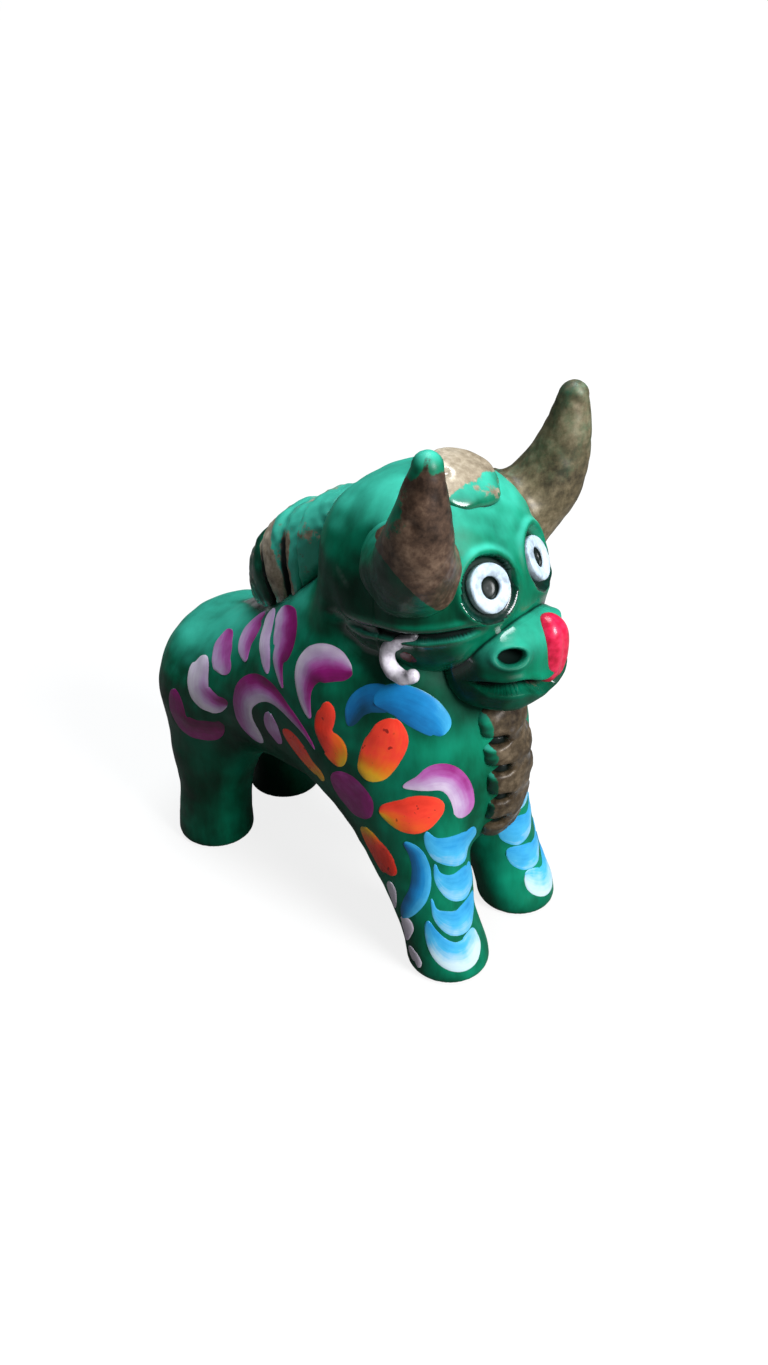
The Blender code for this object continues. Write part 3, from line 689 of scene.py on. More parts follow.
def levelSkin(form, field, low, high, cell):
    # the barrel and four legs run into each other, so no single grid covers them: this skin
    # is where the form is zero. Each cube of a lattice that the zero surface crosses gets
    # one point, each lattice edge that it crosses gets one quad, and the points are then
    # evened out and settled on the uneven field.
    axes = [np.arange(a, b + cell, cell) for a, b in zip(low, high)]
    lattice = np.stack(np.meshgrid(*axes, indexing="ij"), -1)
    value = np.stack([form(slab) for slab in lattice])
    inside = value < 0
    corners = np.array([(a, b, c) for a in (0, 1) for b in (0, 1) for c in (0, 1)])
    shape = np.array(value.shape) - 1
    filled = sum(inside[a:a + shape[0], b:b + shape[1], c:c + shape[2]].astype(np.int8)
                 for a, b, c in corners)
    crossed = (filled > 0) & (filled < 8)
    cube = np.argwhere(crossed)
    number = np.full(crossed.shape, -1)
    number[crossed] = np.arange(len(cube))
    total = np.zeros((len(cube), 3))
    count = np.zeros(len(cube))
    for a in corners:
        for b in corners:
            if (b - a).sum() != 1 or (b - a).min() < 0:
                continue
            va, vb = (value[tuple((cube + q).T)] for q in (a, b))
            cross = (va < 0) != (vb < 0)
            t = np.where(cross, va / np.where(cross, va - vb, 1), 0)
            total += cross[:, None] * (cube + a + t[:, None] * (b - a))
            count += cross
    points = np.array(low) + cell * total / count[:, None]
    quads = []
    for axis in range(3):
        b, c = (axis + 1) % 3, (axis + 2) % 3
        lowSide = np.take(inside, np.arange(inside.shape[axis] - 1), axis)
        highSide = np.take(inside, np.arange(1, inside.shape[axis]), axis)
        edge = np.argwhere(lowSide != highSide)
        flip = lowSide[tuple(edge.T)]
        stepB, stepC = np.eye(3, dtype=int)[b], np.eye(3, dtype=int)[c]
        ring = np.stack([number[tuple((edge - q).T)] for q in (stepB + stepC, stepC, 0 * stepB, stepB)], -1)
        ring[~flip] = ring[~flip][:, ::-1]
        quads.append(ring)
    quads = np.concatenate(quads)
    ends = np.concatenate([quads, np.roll(quads, 1, axis=1)]).reshape(-1)
    others = np.concatenate([np.roll(quads, 1, axis=1), quads]).reshape(-1)
    degree = np.bincount(ends, minlength=len(points))
    for step in range(4):
        mean = np.stack([np.bincount(ends, points[others, k], len(points)) for k in range(3)], -1)
        mean /= degree[:, None]
        points = settleOn(field if step == 3 else form, points + 0.6 * (mean - points), 2)
    return points, quads


crest = {
    # distance along the back and height above it, as in the solid; then how the folds are
    # pressed: where along the ridge (y), how deep at the sides, how wide
    "path": [(14.0, -1.4), (13.2, 2.0), (10.4, 4.9), (5.8, 5.5), (0.3, 3.9), (-3.0, 2.6)],
    "halfHeight": 4.6, "halfWidth": 6.9, "fullAt": 8.0, "frontWidth": 4.8,
    "fan": (0.13, -0.042), "bedded": 5.0,
    "folds": [(13.1, 1.9, 0.65), (8.4, 1.9, 0.8), (4.8, 0.5, 0.45)], "step": (0.95, 0.35),
    "along": 260, "around": 112,
}


def crestRidge(count):
    # ridge line of the crest evenly spaced from rear to front, the way its folds run down,
    # half width, depth and length so far
    t = np.linspace(0, 1, 400)
    y, rise = stationCurve([(k / (len(crest["path"]) - 1), *row) for k, row in enumerate(crest["path"])], t)
    path = np.stack([0 * y, y, barrelSection(y)[2] + rise], -1)
    way = np.gradient(path, axis=0)
    way /= np.linalg.norm(way, axis=1)[:, None]
    up = np.cross(way, (1.0, 0.0, 0.0))
    up *= np.sign(up[-1, 2])
    ridge = path + up * crest["halfHeight"]
    length = np.concatenate([[0], np.cumsum(np.linalg.norm(np.diff(ridge, axis=0), axis=1))])
    s = np.linspace(0, length[-1], count)
    ridge, up = (np.stack([np.interp(s, length, a[:, k]) for k in range(3)], -1) for a in (ridge, up))
    down = np.stack([0 * s, crest["fan"][0] + crest["fan"][1] * ridge[:, 1], -1 + 0 * s], -1)
    down /= np.linalg.norm(down, axis=1)[:, None]
    deep = ridge[:, 2] - barrelSection(ridge[:, 1])[2] + crest["bedded"]
    y = ridge[:, 1]
    back = np.clip((y - crest["fullAt"]) / (y[0] + 0.1 - crest["fullAt"]), 0, 1)
    half = crest["halfWidth"] * np.sqrt(1 - back**2.8)
    half = half + (crest["frontWidth"] - crest["halfWidth"]) * fade(-y, -5.0, 3.0)
    return ridge, up, down, half, deep, s


def nearCrest(p):
    # rough distance outside the crest, for the painted shade beside it
    ridge, _, down, half, deep, _ = crestRidge(40)
    best = np.full(p.shape[:-1], 1e9)
    for c, d, w, h in zip(ridge, down, half, deep):
        away = p - c
        across = away[..., 1] * d[2] - away[..., 2] * d[1]
        q = np.sqrt((p[..., 0] / w) ** 2 + (2 * (away @ d) / h - 1) ** 2)
        best = np.minimum(best, (q - 1) * 5.5 + np.maximum(np.abs(across) - 0.5, 0))
    return best


bodySkin = {"cell": 0.5, "low": (-17.0, -30.0, -1.3), "high": (17.0, 34.5, 68.0)}

bodyPoints, bodyQuads = levelSkin(bodyForm, bodyField, bodySkin["low"], bodySkin["high"], bodySkin["cell"])
bodyPoints[:, 2] = np.maximum(bodyPoints[:, 2], 0)
crease = np.maximum(neckEgg(bodyPoints), 0) + np.maximum(barrelField(bodyPoints), 0)
streakA, streakB = (np.array(q) for q in cheek["streak"])
t = np.clip((bodyPoints - streakA) @ (streakB - streakA) / ((streakB - streakA) ** 2).sum(), 0, 1)
streak = np.linalg.norm(bodyPoints - streakA - t[:, None] * (streakB - streakA), axis=1)
# hollow: painted shade in the creases under the jaw and the cheek and along the foot of the crest, and a thin
# wet streak on the nape
hollow = np.maximum(0.22 * bell(streak, 0.35),
                    0.9 * underJaw(bodyPoints) * np.exp(-crease / 0.6) * fade(-bodyPoints[:, 1], 6.0, 9.0))
hollow = np.maximum(hollow, cheekHollow(bodyPoints))
besideCrest = np.maximum(nearCrest(bodyPoints), 0)
hollow = np.maximum(hollow, 0.8 * np.exp(-besideCrest / 0.45))
# painted shade on the flanks, less on the shoulders, heavy on the throat under the chin and behind the crest
# where its shadow falls
normal = outward(bodyField, bodyPoints)
shoulder = fade(-bodyPoints[:, 1], 7.0, 14.0) * (1 - fade(bodyPoints[:, 2], 38.0, 44.0))
thick = fade(np.abs(normal[:, 0]), 0.4, 0.85) * (1 - fade(normal[:, 2], 0.0, 0.38)) * (1 - 0.5 * shoulder)
throat = 0.85 * fade(bodyPoints[:, 2], 33.5, 38.0) * fade(-bodyPoints[:, 1], 9.0, 14.0)
behind = 0.95 * np.exp(-(besideCrest / 2.6) ** 2) * fade(bodyPoints[:, 1], 3.0, 9.0)
thick = np.maximum(np.maximum(thick, throat), behind)
# painted highlight on the tops, none in the crest's painted shadow
rubbed = fade(normal[:, 2], 0.35, 0.95) * (1 - behind)
body = addPiece("body_skin", bodyPoints, bodyQuads, [], greenPaint,
                marks={"hollow": hollow, "thick": thick, "rubbed": rubbed})
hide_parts("torso", "leg_front_left", "leg_front_right", "leg_rear_left", "leg_rear_right")
print("body skin:", len(bodyPoints), "points")


# head ball with pressed eye sockets and the crease under each cheek
eyes = {"spread": 0.41 * headWide, "drop": 0.26 * headTall, "splay": 15.0, "radius": 2.85,
        "height": 1.1, "around": 72, "pupil": 1.3, "pupilDepth": 0.9,
        "socket": 3.75, "socketDepth": 1.15, "lip": 0.3}


def eyeAxis(side):
    splay = math.radians(eyes["splay"])
    start = np.array([side * eyes["spread"], faceDepth(eyes["spread"], eyes["drop"]), -eyes["drop"]])
    return start, np.array([side * math.sin(splay), math.cos(splay), 0.0])


def eyePlace(q, side):
    # height above the face and distance from the axis of one eye
    start, out = eyeAxis(side)
    away = q - start
    height = away @ out
    return height, np.sqrt(np.maximum((away**2).sum(-1) - height**2, 0))


def headField(p):
    # egg, as uneven as the nape, with two round sockets, each with a lifted lip, and a groove
    # along each cheek
    q = toHead(p)
    d = headEgg(p) + handWork(p) + cheekPress(p)
    for side in (1, -1):
        height, radius = eyePlace(q, side)
        d = d - eyes["lip"] * bell(radius - eyes["socket"] - 0.5, 0.55) * (height > -3)
        socket = cutForms(radius - eyes["socket"], -(height + eyes["socketDepth"]), 0.4)
        d = cutForms(d, -socket, 0.35)
    return d


rings, start, end = starRings(headField, np.array(headForm["middle"]), (1, 0, 0), (0, -1, 0.6),
                              190, 320, 17.0, crowd=0.25)
headPoints = tubePoints(rings, start, end)
quads, triangles, _ = tubeFaces(*rings.shape[:2])
# painted shade in the cheek crease and the eye sockets, where the muzzle meets the head, and below the jaw
# where the head meets the barrel
hollow = np.maximum(cheekHollow(headPoints), 0.85 * np.exp(-np.maximum(muzzleEgg(headPoints), 0) / 0.55))
for side in (1, -1):
    height, radius = eyePlace(toHead(headPoints), side)
    hollow = np.maximum(hollow, 0.85 * fade(-height, 0.0, 0.75) * (radius < eyes["socket"] + 0.5))
besideBarrel = np.maximum(barrelField(headPoints), 0)
hollow = np.maximum(hollow, 0.85 * underJaw(headPoints) * np.exp(-besideBarrel / 0.45))
head = addPiece("head_skin", headPoints, quads, triangles, greenPaint, marks={"hollow": hollow})
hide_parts("head")
print("head:", len(headPoints), "points")


# muzzle with nostrils and knife-cut mouth
def mouthLine(p):
    # height of the mouth: lowest in the middle, climbing round the corners of the snout
    rise = muzzle["mouthRise"] * fade(np.abs(p[..., 0]), 0, 5.5)
    return muzzle["mouthHeight"] + rise - 0.1 * (p[..., 1] + 27.7)


def muzzleField(p):
    # squared egg, minus two nostril pits with lips and one slit that climbs to the cheeks
    solid = muzzleEgg(p)
    d = solid + 0.07 * clayWaves(p, 5.0, 21) + 0.02 * clayWaves(p, 2.0, 22)
    mirror = np.concatenate([np.abs(p[..., :1]), p[..., 1:]], -1)
    reach = np.sqrt((((mirror - np.array(muzzle["nostril"])) / np.array(muzzle["nostrilHalf"])) ** 2).sum(-1))
    d = d - muzzle["nostrilRim"] * bell(reach - 1.35, 0.3)
    d = cutForms(d, -(reach - 1) * 0.9, 0.25)
    above = p[..., 2] - mouthLine(p)
    back = fade(-p[..., 1], -muzzle["mouthBack"], -muzzle["mouthBack"] + 4.0)
    d = d - 0.22 * back * (bell(above - 1.15, 0.55) + bell(above + 1.2, 0.6))
    slit = np.maximum(np.abs(above) - muzzle["mouthHalf"] * back, p[..., 1] - muzzle["mouthBack"])
    slit = np.maximum(slit, -(solid + muzzle["mouthDepth"] * back))
    return cutForms(d, -slit, 0.25)


# the grid is twisted so that its lines run along the mouth
tilt = np.linspace(0, math.pi, 171)
drop = np.full_like(tilt, 0.2)
for _ in range(12):
    way = np.stack([np.cos(tilt), -np.sin(tilt) * np.cos(drop), -np.sin(tilt) * np.sin(drop)], -1)
    far = 1 / (np.abs(way / np.array(muzzle["half"])) ** muzzle["power"]).sum(-1) ** (1 / muzzle["power"])
    lip = np.array(muzzle["middle"]) + way * far[:, None]
    drop = drop + np.clip((lip[:, 2] - mouthLine(lip)) / np.maximum(far * np.sin(tilt), 1.5), -0.15, 0.15)
rings, start, end = starRings(muzzleField, np.array(muzzle["middle"]), (1, 0, 0), (0, -1, 0),
                              170, 300, 11.0, 60, drop, 0.45)
muzzlePoints = tubePoints(rings, start, end)
quads, triangles, _ = tubeFaces(*rings.shape[:2])
# painted shade in the nostrils and mouth and where the snout meets the head and the barrel
hollow = np.maximum(fade(-muzzleEgg(muzzlePoints), 0.2, 0.8),
                    0.85 * np.exp(-np.maximum(headEgg(muzzlePoints), 0) / 0.4))
hollow = np.maximum(hollow, 0.7 * np.exp(-np.maximum(barrelField(muzzlePoints), 0) / 0.5))
# painted shade on the cheeks of the snout and on the chin
thick = np.maximum(fade(np.abs(muzzlePoints[:, 0]), 3.8, 6.6) * (1 - fade(muzzlePoints[:, 2], 47.5, 50.0)),
                   0.9 * fade(mouthLine(muzzlePoints) - muzzlePoints[:, 2], -0.6, 0.5))
# painted highlight on the top of the snout
rubbed = 0.45 * fade(muzzlePoints[:, 2], 46.0, 49.0)
snout = addPiece("muzzle_skin", muzzlePoints, quads, triangles, greenPaint,
                 marks={"hollow": hollow, "thick": thick, "rubbed": rubbed})
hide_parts("muzzle")
print("muzzle:", len(muzzlePoints), "points")


# tongue licking up beside the nose
tongue = {"middle": (2.0, -28.2, 46.0), "half": (2.6, 2.4, 4.6), "power": 2.2, "groove": 0.14}


def tongueField(p):
    # narrow egg with a faint groove down its front
    q = p - np.array(tongue["middle"])
    d = eggDistance(q, tongue["half"], tongue["power"]) + 0.05 * clayWaves(p, 4.0, 31)
    return d + tongue["groove"] * bell(q[..., 0], 0.5) * fade(-q[..., 1], 0.5, 2.0)


rings, start, end = starRings(tongueField, np.array(tongue["middle"]), (0, 0, 1), (0, -1, 0), 90, 110, 6.5)
points = tubePoints(rings, start, end)
quads, triangles, _ = tubeFaces(*rings.shape[:2])
# painted shade where the tongue meets the snout
hollow = 0.6 * np.exp(-np.maximum(muzzleField(points), 0) / 0.25)
piece = addPiece("tongue_lick", points, quads, triangles, redPaint, marks={"hollow": hollow})
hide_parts("tongue")


# horns: tapered coils, smeared on at the root
horn = {"root": (7.5, -14.5, 57.46), "bend": (15.0, -20.5, 56.46), "tip": (14.5, -21.9, 72.42),
        "tipRadius": 1.9, "swell": 3.1, "fullness": 3.1, "flare": 0.9, "chips": 0.06, "around": 84,
        "tipGreen": 72.0, "rootGreen": {"left": 55.9, "right": 59.1}, "dent": (-17.9, -22.2, 67.0)}

t = np.linspace(0, 1, 100)
for side, label in ((1, "left"), (-1, "right")):
    path = bezier((horn["root"], horn["bend"], horn["tip"]), t) * np.array([side, 1, 1])
    radius = horn["tipRadius"] + horn["swell"] * (1 - t ** horn["fullness"])
    rings, start, end, _, _ = sweepRings(path, radius, radius, np.array([0.0, 1.0, 0.0]), horn["around"])
    points = tubePoints(rings, start, end)
    gap = np.maximum(headEgg(points), 0)
    dent = bell(np.linalg.norm(points - np.array(horn["dent"]), axis=1), 0.7)
    points = points + ringOutward(rings, start, end) * (
        horn["flare"] * np.exp(-gap / 1.0) - 0.35 * dent - 0.14
        + 0.09 * clayWaves(points, 5.0, 40 + side) + 0.035 * clayWaves(points, 1.8, 42 + side))[:, None]
    # green at the tip and below a slanting edge where the brush stopped above the root
    edge = horn["rootGreen"][label] + 0.96 * np.abs(points[:, 0]) + 0.74 * points[:, 1]
    tip = fade(points[:, 2], horn["tipGreen"] - 1.2, horn["tipGreen"] + 1.2)
    worn = horn["chips"] + 0.9 * fade(edge - points[:, 2], -0.9, 0.9) + 0.3 * dent
    if label == "right":
        rearSide = fade(ringOutward(rings, start, end) @ np.array([-0.62, 0.78, 0.0]), 0.3, 0.9)
        worn = worn + 0.5 * tip + 0.6 * np.exp(-gap / 0.3)
        worn = worn + (0.1 + 0.3 * rearSide) * fade(points[:, 2], 61.0, 67.0)
    else:
        worn = worn + 0.1 * tip + 0.2 * fade(points[:, 2], 60.0, 66.0)
    # painted shade at the root, only on its lower part
    hollow = 0.8 * np.exp(-gap / 0.2) * (1 - fade(points[:, 2], 52.0, 56.0))
    quads, triangles, uv = tubeFaces(*rings.shape[:2])
    piece = addPiece("horn_coil_" + label, points, quads, triangles,
                     bronzeWiped if side > 0 else bronzeHorn, uv, {"worn": worn, "hollow": hollow})
    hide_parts("horn_" + label)
print("horns made")


# eyes: stamped pellets turned from a profile
for side, label in ((1, "left"), (-1, "right")):
    start, out = eyeAxis(side)
    r, h = eyes["radius"], eyes["height"]
    # profile from the back rim round the ring to the floor of the pupil hole
    bend = np.linspace(0, math.pi, 24)
    ringMid, ringHalf = (r + eyes["pupil"]) / 2, (r - eyes["pupil"]) / 2
    brow = np.sign(np.cos(bend)) * np.abs(np.cos(bend)) ** 0.7
    floorAt = h - eyes["pupilDepth"]
    profile = np.concatenate([
        [(r * 0.5, -0.3), (r - 0.2, -0.3), (r, -0.1), (r, h - 0.5)],
        np.stack([ringMid + ringHalf * brow, h - 0.45 + 0.45 * np.sin(bend) ** 0.7], -1)[1:-1],
        [(eyes["pupil"], h - 0.5), (eyes["pupil"] * 0.95, h - 0.7), (eyes["pupil"] * 0.88, floorAt + 0.1),
         (eyes["pupil"] * 0.7, floorAt), (eyes["pupil"] * 0.35, floorAt)]])
    a = np.linspace(0, 2 * math.pi, eyes["around"], endpoint=False)
    across = np.cross(out, (0.0, 0.0, 1.0))
    across /= np.linalg.norm(across)
    upward = np.cross(across, out)
    wobble = 1 + 0.03 * np.sin(2 * a + side) + 0.02 * np.sin(3 * a + 1.0)
    base = start - out * (eyes["socketDepth"] - 0.1)
    spoke = across * np.cos(a)[:, None] + upward * np.sin(a)[:, None]
    rings = base + out * profile[:, 1, None, None] + spoke * (profile[:, 0, None] * wobble)[..., None]
    points = fromHead(tubePoints(rings, base - out * 0.3, base + out * floorAt))
    depth = np.concatenate([np.repeat(profile[:, 1], eyes["around"]), [-0.3, floorAt]])
    wide = np.concatenate([np.repeat(profile[:, 0], eyes["around"]), [0, 0]])
    inner = wide < eyes["pupil"] + 0.05
    # painted shade in the pupil hole and on the ring's outer wall down in the socket
    hollow = np.maximum(fade(h - depth, 0.3, 0.55) * inner * (0.76 + 0.24 * fade(wide, 0.1, 0.45)),
                        0.8 * fade(h - depth, 0.5, 0.9) * (wide > 2.0))
    clay = 0.5 * fade(h - depth, 0.6, 0.85) * fade(-wide, -0.5, -0.2)
    quads, triangles, uv = tubeFaces(*rings.shape[:2])
    piece = addPiece("eye_ring_" + label, points, quads, triangles, whitePaint, uv,
                     {"hollow": hollow, "clay": clay})
    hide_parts("eye_" + label)


# ears: coils bent to a C with a straighter upper arm
ear = {"back": 0.13 * headDeep, "drop": 0.59 * headTall, "lift": 0.55, "ring": 2.15,
       "coil": 0.92, "around": 40, "armTurn": 125.0, "armLength": 3.2, "endTurn": 318.0}
k = headForm["power"]
cheekHalf = headWide * (1 - (ear["back"] / headDeep) ** k - (ear["drop"] / headTall) ** k) ** (1 / k)
earMiddle = fromHead((cheekHalf + ear["lift"], -ear["back"], -ear["drop"]))
for side, label in ((1, "left"), (-1, "right")):
    # path: a straight arm that runs into an arc about the ear's middle
    turn = np.radians(np.linspace(ear["armTurn"], ear["endTurn"], 60))
    arc = np.stack([-ear["ring"] * np.cos(turn), ear["ring"] * np.sin(turn)], -1)
    ahead = np.array([-math.sin(turn[0]), -math.cos(turn[0])])
    arm = arc[0] + ahead * np.linspace(ear["armLength"], 0, 26, endpoint=False)[:, None]
    flat = np.concatenate([arm, arc])
    path = np.stack([np.full(len(flat), side * earMiddle[0]),
                     earMiddle[1] + flat[:, 0], earMiddle[2] + flat[:, 1]], -1)
    t = np.linspace(0, 1, len(flat))
    path[:, 0] += side * (0.5 * fade(t, 0.0, 0.35) - 0.2)
    size = ear["coil"] * (0.72 + 0.34 * fade(t, 0.05, 0.6) - 0.1 * fade(t, 0.8, 1))
    rings, start, end, _, _ = sweepRings(path, size, size, np.array([1.0, 0.0, 0.0]), ear["around"])
    points = tubePoints(rings, start, end)
    points = points + ringOutward(rings, start, end) * (0.07 * clayWaves(points, 2.2, 50 + side))[:, None]
    # painted shade where the coil meets the head
    hollow = 0.75 * np.exp(-np.maximum(headEgg(points), 0) / 0.2)
    quads, triangles, uv = tubeFaces(*rings.shape[:2])
    piece = addPiece("ear_coil_" + label, points, quads, triangles, earPaint, uv, {"hollow": hollow})
    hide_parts("ear_" + label)
print("eyes and ears made")


# mane crest: a fan of folds over the hump. Each fold is a flattened oval hung from the ridge:
# point = ridge + sideways half cos a + downward depth (1 - sin a) / 2, cos and sin flattened
ridge, up, down, half, deep, s = crestRidge(crest["along"])
pressed = sum(push * bell(ridge[:, 1] - y, wide) for y, push, wide in crest["folds"])
behind = fade(ridge[:, 1] - 4.8, -0.3, 0.3)
lowered = crest["step"][0] * behind * bell(np.maximum(ridge[:, 1] - 5.3, 0), 2.6)
lowered = lowered + crest["step"][1] * (1 - behind)
ridge = ridge - up * (lowered + 0.22 * pressed)[:, None]
rearEnd = 1 - (1 - np.minimum(s / 1.2, 1)) ** 2
frontEnd = 1 - (1 - np.minimum((s[-1] - s) / 3.0, 1)) ** 2
ends = np.sqrt(np.maximum(rearEnd * frontEnd, 0))
a = np.linspace(0, 2 * math.pi, crest["around"], endpoint=False)
flatCos, flatSin = (np.sign(w) * np.abs(w) ** 0.8 for w in (np.cos(a), np.sin(a)))
lower = fade(-flatSin, -0.9, 0.2)
wide = (half * ends)[:, None] - pressed[:, None] * (0.25 + 0.75 * lower)[None, :]
middle = ridge + down * deep[:, None] / 2
rings = (middle[:, None] + np.array([1.0, 0, 0]) * (wide * flatCos)[..., None]
         - down[:, None] * (ends * deep / 2)[:, None, None] * flatSin[None, :, None])
rings, start, end = rings[1:-1], middle[0], middle[-1]
points = tubePoints(rings, start, end)
points = points + ringOutward(rings, start, end) * (
    0.10 * clayWaves(points, 4.5, 61) + 0.07 * clayWaves(points, 1.7, 62))[:, None]
ridgeY = np.concatenate([np.repeat(ridge[1:-1, 1], crest["around"]), ridge[[0, -1], 1]])
deepIn = np.concatenate([np.tile((1 - flatSin) / 2, len(rings)), [0.5, 0.5]])
crease = np.concatenate([(pressed[1:-1, None] * (0.25 + 0.75 * lower)[None, :]).ravel(), [0, 0]])
gap = np.maximum(barrelField(points), 0)
# the first fold is green, the second mostly bronze, the third bronze only on its rear edge
second = fade(13.3 - ridgeY, 0, 0.4) * fade(ridgeY - 9.9 + 3.0 * (deepIn - 0.35), -0.8, 0.8)
third = fade(8.4 - ridgeY, 0, 0.4) * fade(ridgeY - 6.2, -0.6, 0.6) * fade(deepIn, 0.1, 0.3)
worn = 0.6 - 0.56 * np.maximum(second, 0.9 * third)
# painted shade in the creases between the folds and at the crest's foot, painted shade over the rear fold and
# a painted highlight on the tops of the front folds
hollow = np.maximum(0.97 * fade(crease, 0.3, 0.85), 0.75 * np.exp(-gap / 0.4))
thick = fade(ridgeY, 12.7, 13.7)
rubbed = 1.7 * fade(12.5 - ridgeY, 0, 1.0) * fade(-deepIn, -0.8, -0.5)
quads, triangles, uv = tubeFaces(*rings.shape[:2])
piece = addPiece("mane_folds", points, quads, triangles, bronzeCrest, uv,
                 {"worn": worn, "hollow": hollow, "rubbed": rubbed, "thick": thick})
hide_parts("mane_crest")


# dewlap: a strip pinched into lumps down the chest
dewlap = {"top": 36.5, "length": 17.0, "sink": 0.7, "halfWidth": 4.6, "halfDepth": 2.7, "shift": -0.4,
          "around": 96, "cuts": (34.6, 30.6, 26.2, 21.8), "cutHalf": 0.6, "cutSide": 1.8, "cutFront": 0.12}


def chestFront(z):
    # foremost y of the barrel's middle plane at height z, by halving
    inner = np.full_like(z, barrel["stations"][0][0])
    outer = inner - barrel["chestLength"]
    for _ in range(30):
        y = (inner + outer) / 2
        _, under, top = barrelSection(y)
        inside = (under <= z) & (z <= top)
        inner, outer = np.where(inside, y, inner), np.where(inside, outer, y)
    return inner


t = np.linspace(0, 1, 240)
height = dewlap["top"] - dewlap["length"] * t
path = np.stack([0 * t + dewlap["shift"], chestFront(height) + dewlap["sink"], height], -1)
thin = 0.96 - 0.25 * t**3
rings, start, end, _, _ = sweepRings(path, dewlap["halfWidth"] * thin, dewlap["halfDepth"] * thin,
                                     np.array([1.0, 0.0, 0.0]), dewlap["around"])
points = tubePoints(rings, start, end)
cut = sum(bell(points[:, 2] - z + 0.1 * np.abs(points[:, 0]), dewlap["cutHalf"]) for z in dewlap["cuts"])
# pinched harder on the right
sideways = fade(-points[:, 0], 1.7, 3.7) + 0.45 * fade(points[:, 0], 1.2, 3.2)
points = points + ringOutward(rings, start, end) * (
    -cut * (dewlap["cutFront"] + (dewlap["cutSide"] - dewlap["cutFront"]) * sideways)
    + 0.08 * clayWaves(points, 3.0, 71) + 0.05 * clayWaves(points, 1.4, 72))[:, None]
gap = np.maximum(barrelField(points), 0)
worn = 0.04 + 0.6 * fade(np.abs(points[:, 0]), 3.5, 4.5) + 0.2 * np.exp(-gap / 0.6)
# painted shade in the cuts, mostly on the right, and along the root
hollow = np.maximum(0.97 * fade(cut, 0.2, 0.7) * (0.2 + 0.8 * sideways), 0.7 * np.exp(-gap / 0.35))
quads, triangles, uv = tubeFaces(*rings.shape[:2])
piece = addPiece("dewlap_strip", points, quads, triangles, bronzeStrip, uv, {"worn": worn, "hollow": hollow})
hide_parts("dewlap")


# forelock: a flat pad pressed on the crown, combed lightly
forelock = {"rise": 0.66 * headTall + 0.5, "sink": 1.1, "half": (0.42 * headWide, 2.0, 4.8), "power": 2.3,
            "tilt": 32.0, "combs": 19.0, "combDepth": 0.05, "dent": (-2.6, 0.9)}
padTilt = math.radians(forelock["tilt"])
padMiddle = np.array([0.0, faceDepth(0, forelock["rise"]) - forelock["sink"], forelock["rise"]])
padAxes = np.array([[1, 0, 0],
                    [0, math.cos(padTilt), math.sin(padTilt)],
                    [0, -math.sin(padTilt), math.cos(padTilt)]])


def toPad(p):
    return (toHead(p) - padMiddle) @ padAxes.T


def padDent(q):
    away = np.hypot(q[..., 0] - forelock["dent"][0], q[..., 2] - forelock["dent"][1])
    return bell(away, 0.65) * (q[..., 1] > 0)


def padField(p):
    # flat egg with combed grooves that fan out towards its lower edge, and one thumb dent
    q = toPad(p)
    d = eggDistance(q, forelock["half"], forelock["power"]) + 0.07 * clayWaves(p, 3.5, 81)
    fan = np.arctan2(q[..., 0], 9.0 - q[..., 2])
    d = d + forelock["combDepth"] * np.cos(fan * forelock["combs"]) * fade(q[..., 1], 0.3, 1.2)
    return d + 0.3 * padDent(q)


faceOut = fromHead((0, 1, 0)) - fromHead((0, 0, 0))
rings, start, end = starRings(padField, fromHead(padMiddle), faceOut, (0, 0, 1), 90, 150, 7.5)
points = tubePoints(rings, start, end)
quads, triangles, _ = tubeFaces(*rings.shape[:2])
gap = np.maximum(headEgg(points), 0)
low, dent = -toPad(points)[:, 2], padDent(toPad(points))
worn = 0.02 + 0.5 * fade(low, 0.6, 2.2) + 0.2 * np.exp(-gap / 0.5) + 0.25 * dent
# painted shade along its lower edge against the head and in the thumb dent
hollow = np.maximum(0.85 * np.exp(-gap / 0.2) * fade(low, -1.0, 1.0), 0.55 * dent)
piece = addPiece("forelock_pad", points, quads, triangles, bronzePad, marks={"worn": worn, "hollow": hollow})
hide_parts("forelock")


# tail: a thin coil laid down over the rump, ending in a combed tuft
tail = {"start": 30.0, "end": 112.0, "hub": 4.0, "sink": 0.5, "radius": 1.7, "tuft": 2.5, "smear": 0.5,
        "around": 56}

t = np.linspace(0, 1, 130)
a = np.radians(tail["start"] + (tail["end"] - tail["start"]) * t)
y = barrel["stations"][-1][0] + barrel["rumpLength"] * np.sin(a)
_, under, top = barrelSection(y)
spot = np.stack([0 * t, y, np.where(np.cos(a) >= 0, top, under)], -1)
way = spot - np.array([0.0, barrel["stations"][-1][0] - tail["hub"], barrel["rumpPole"]])
way /= np.linalg.norm(way, axis=1)[:, None]
tuft = np.where(t > 0.7, np.sin(math.pi * np.clip((t - 0.7) / 0.3, 0, 1)), 0)
smear = fade(t, 0.05, tail["smear"])      # the root is pressed flat into the rump
radius = tail["radius"] * (0.3 + 0.7 * smear) + (tail["tuft"] - tail["radius"]) * tuft
rings, start, end, along, turn = sweepRings(spot - way * tail["sink"], radius, radius * 0.9,
                                            np.array([1.0, 0.0, 0.0]), tail["around"])
points = tubePoints(rings, start, end)
spread = np.concatenate([np.repeat(along, tail["around"]), [0, 1]])
strands = fade(np.cos(7 * np.concatenate([np.tile(turn, len(rings)), [0, 0]])), 0.5, 1.0)
strands = strands * fade(spread, 0.7, 0.8)
push = 0.08 * clayWaves(points, 3.0, 91) - 0.14 * strands - 0.06
points = points + ringOutward(rings, start, end) * push[:, None]
gap = np.maximum(barrelField(points), 0)
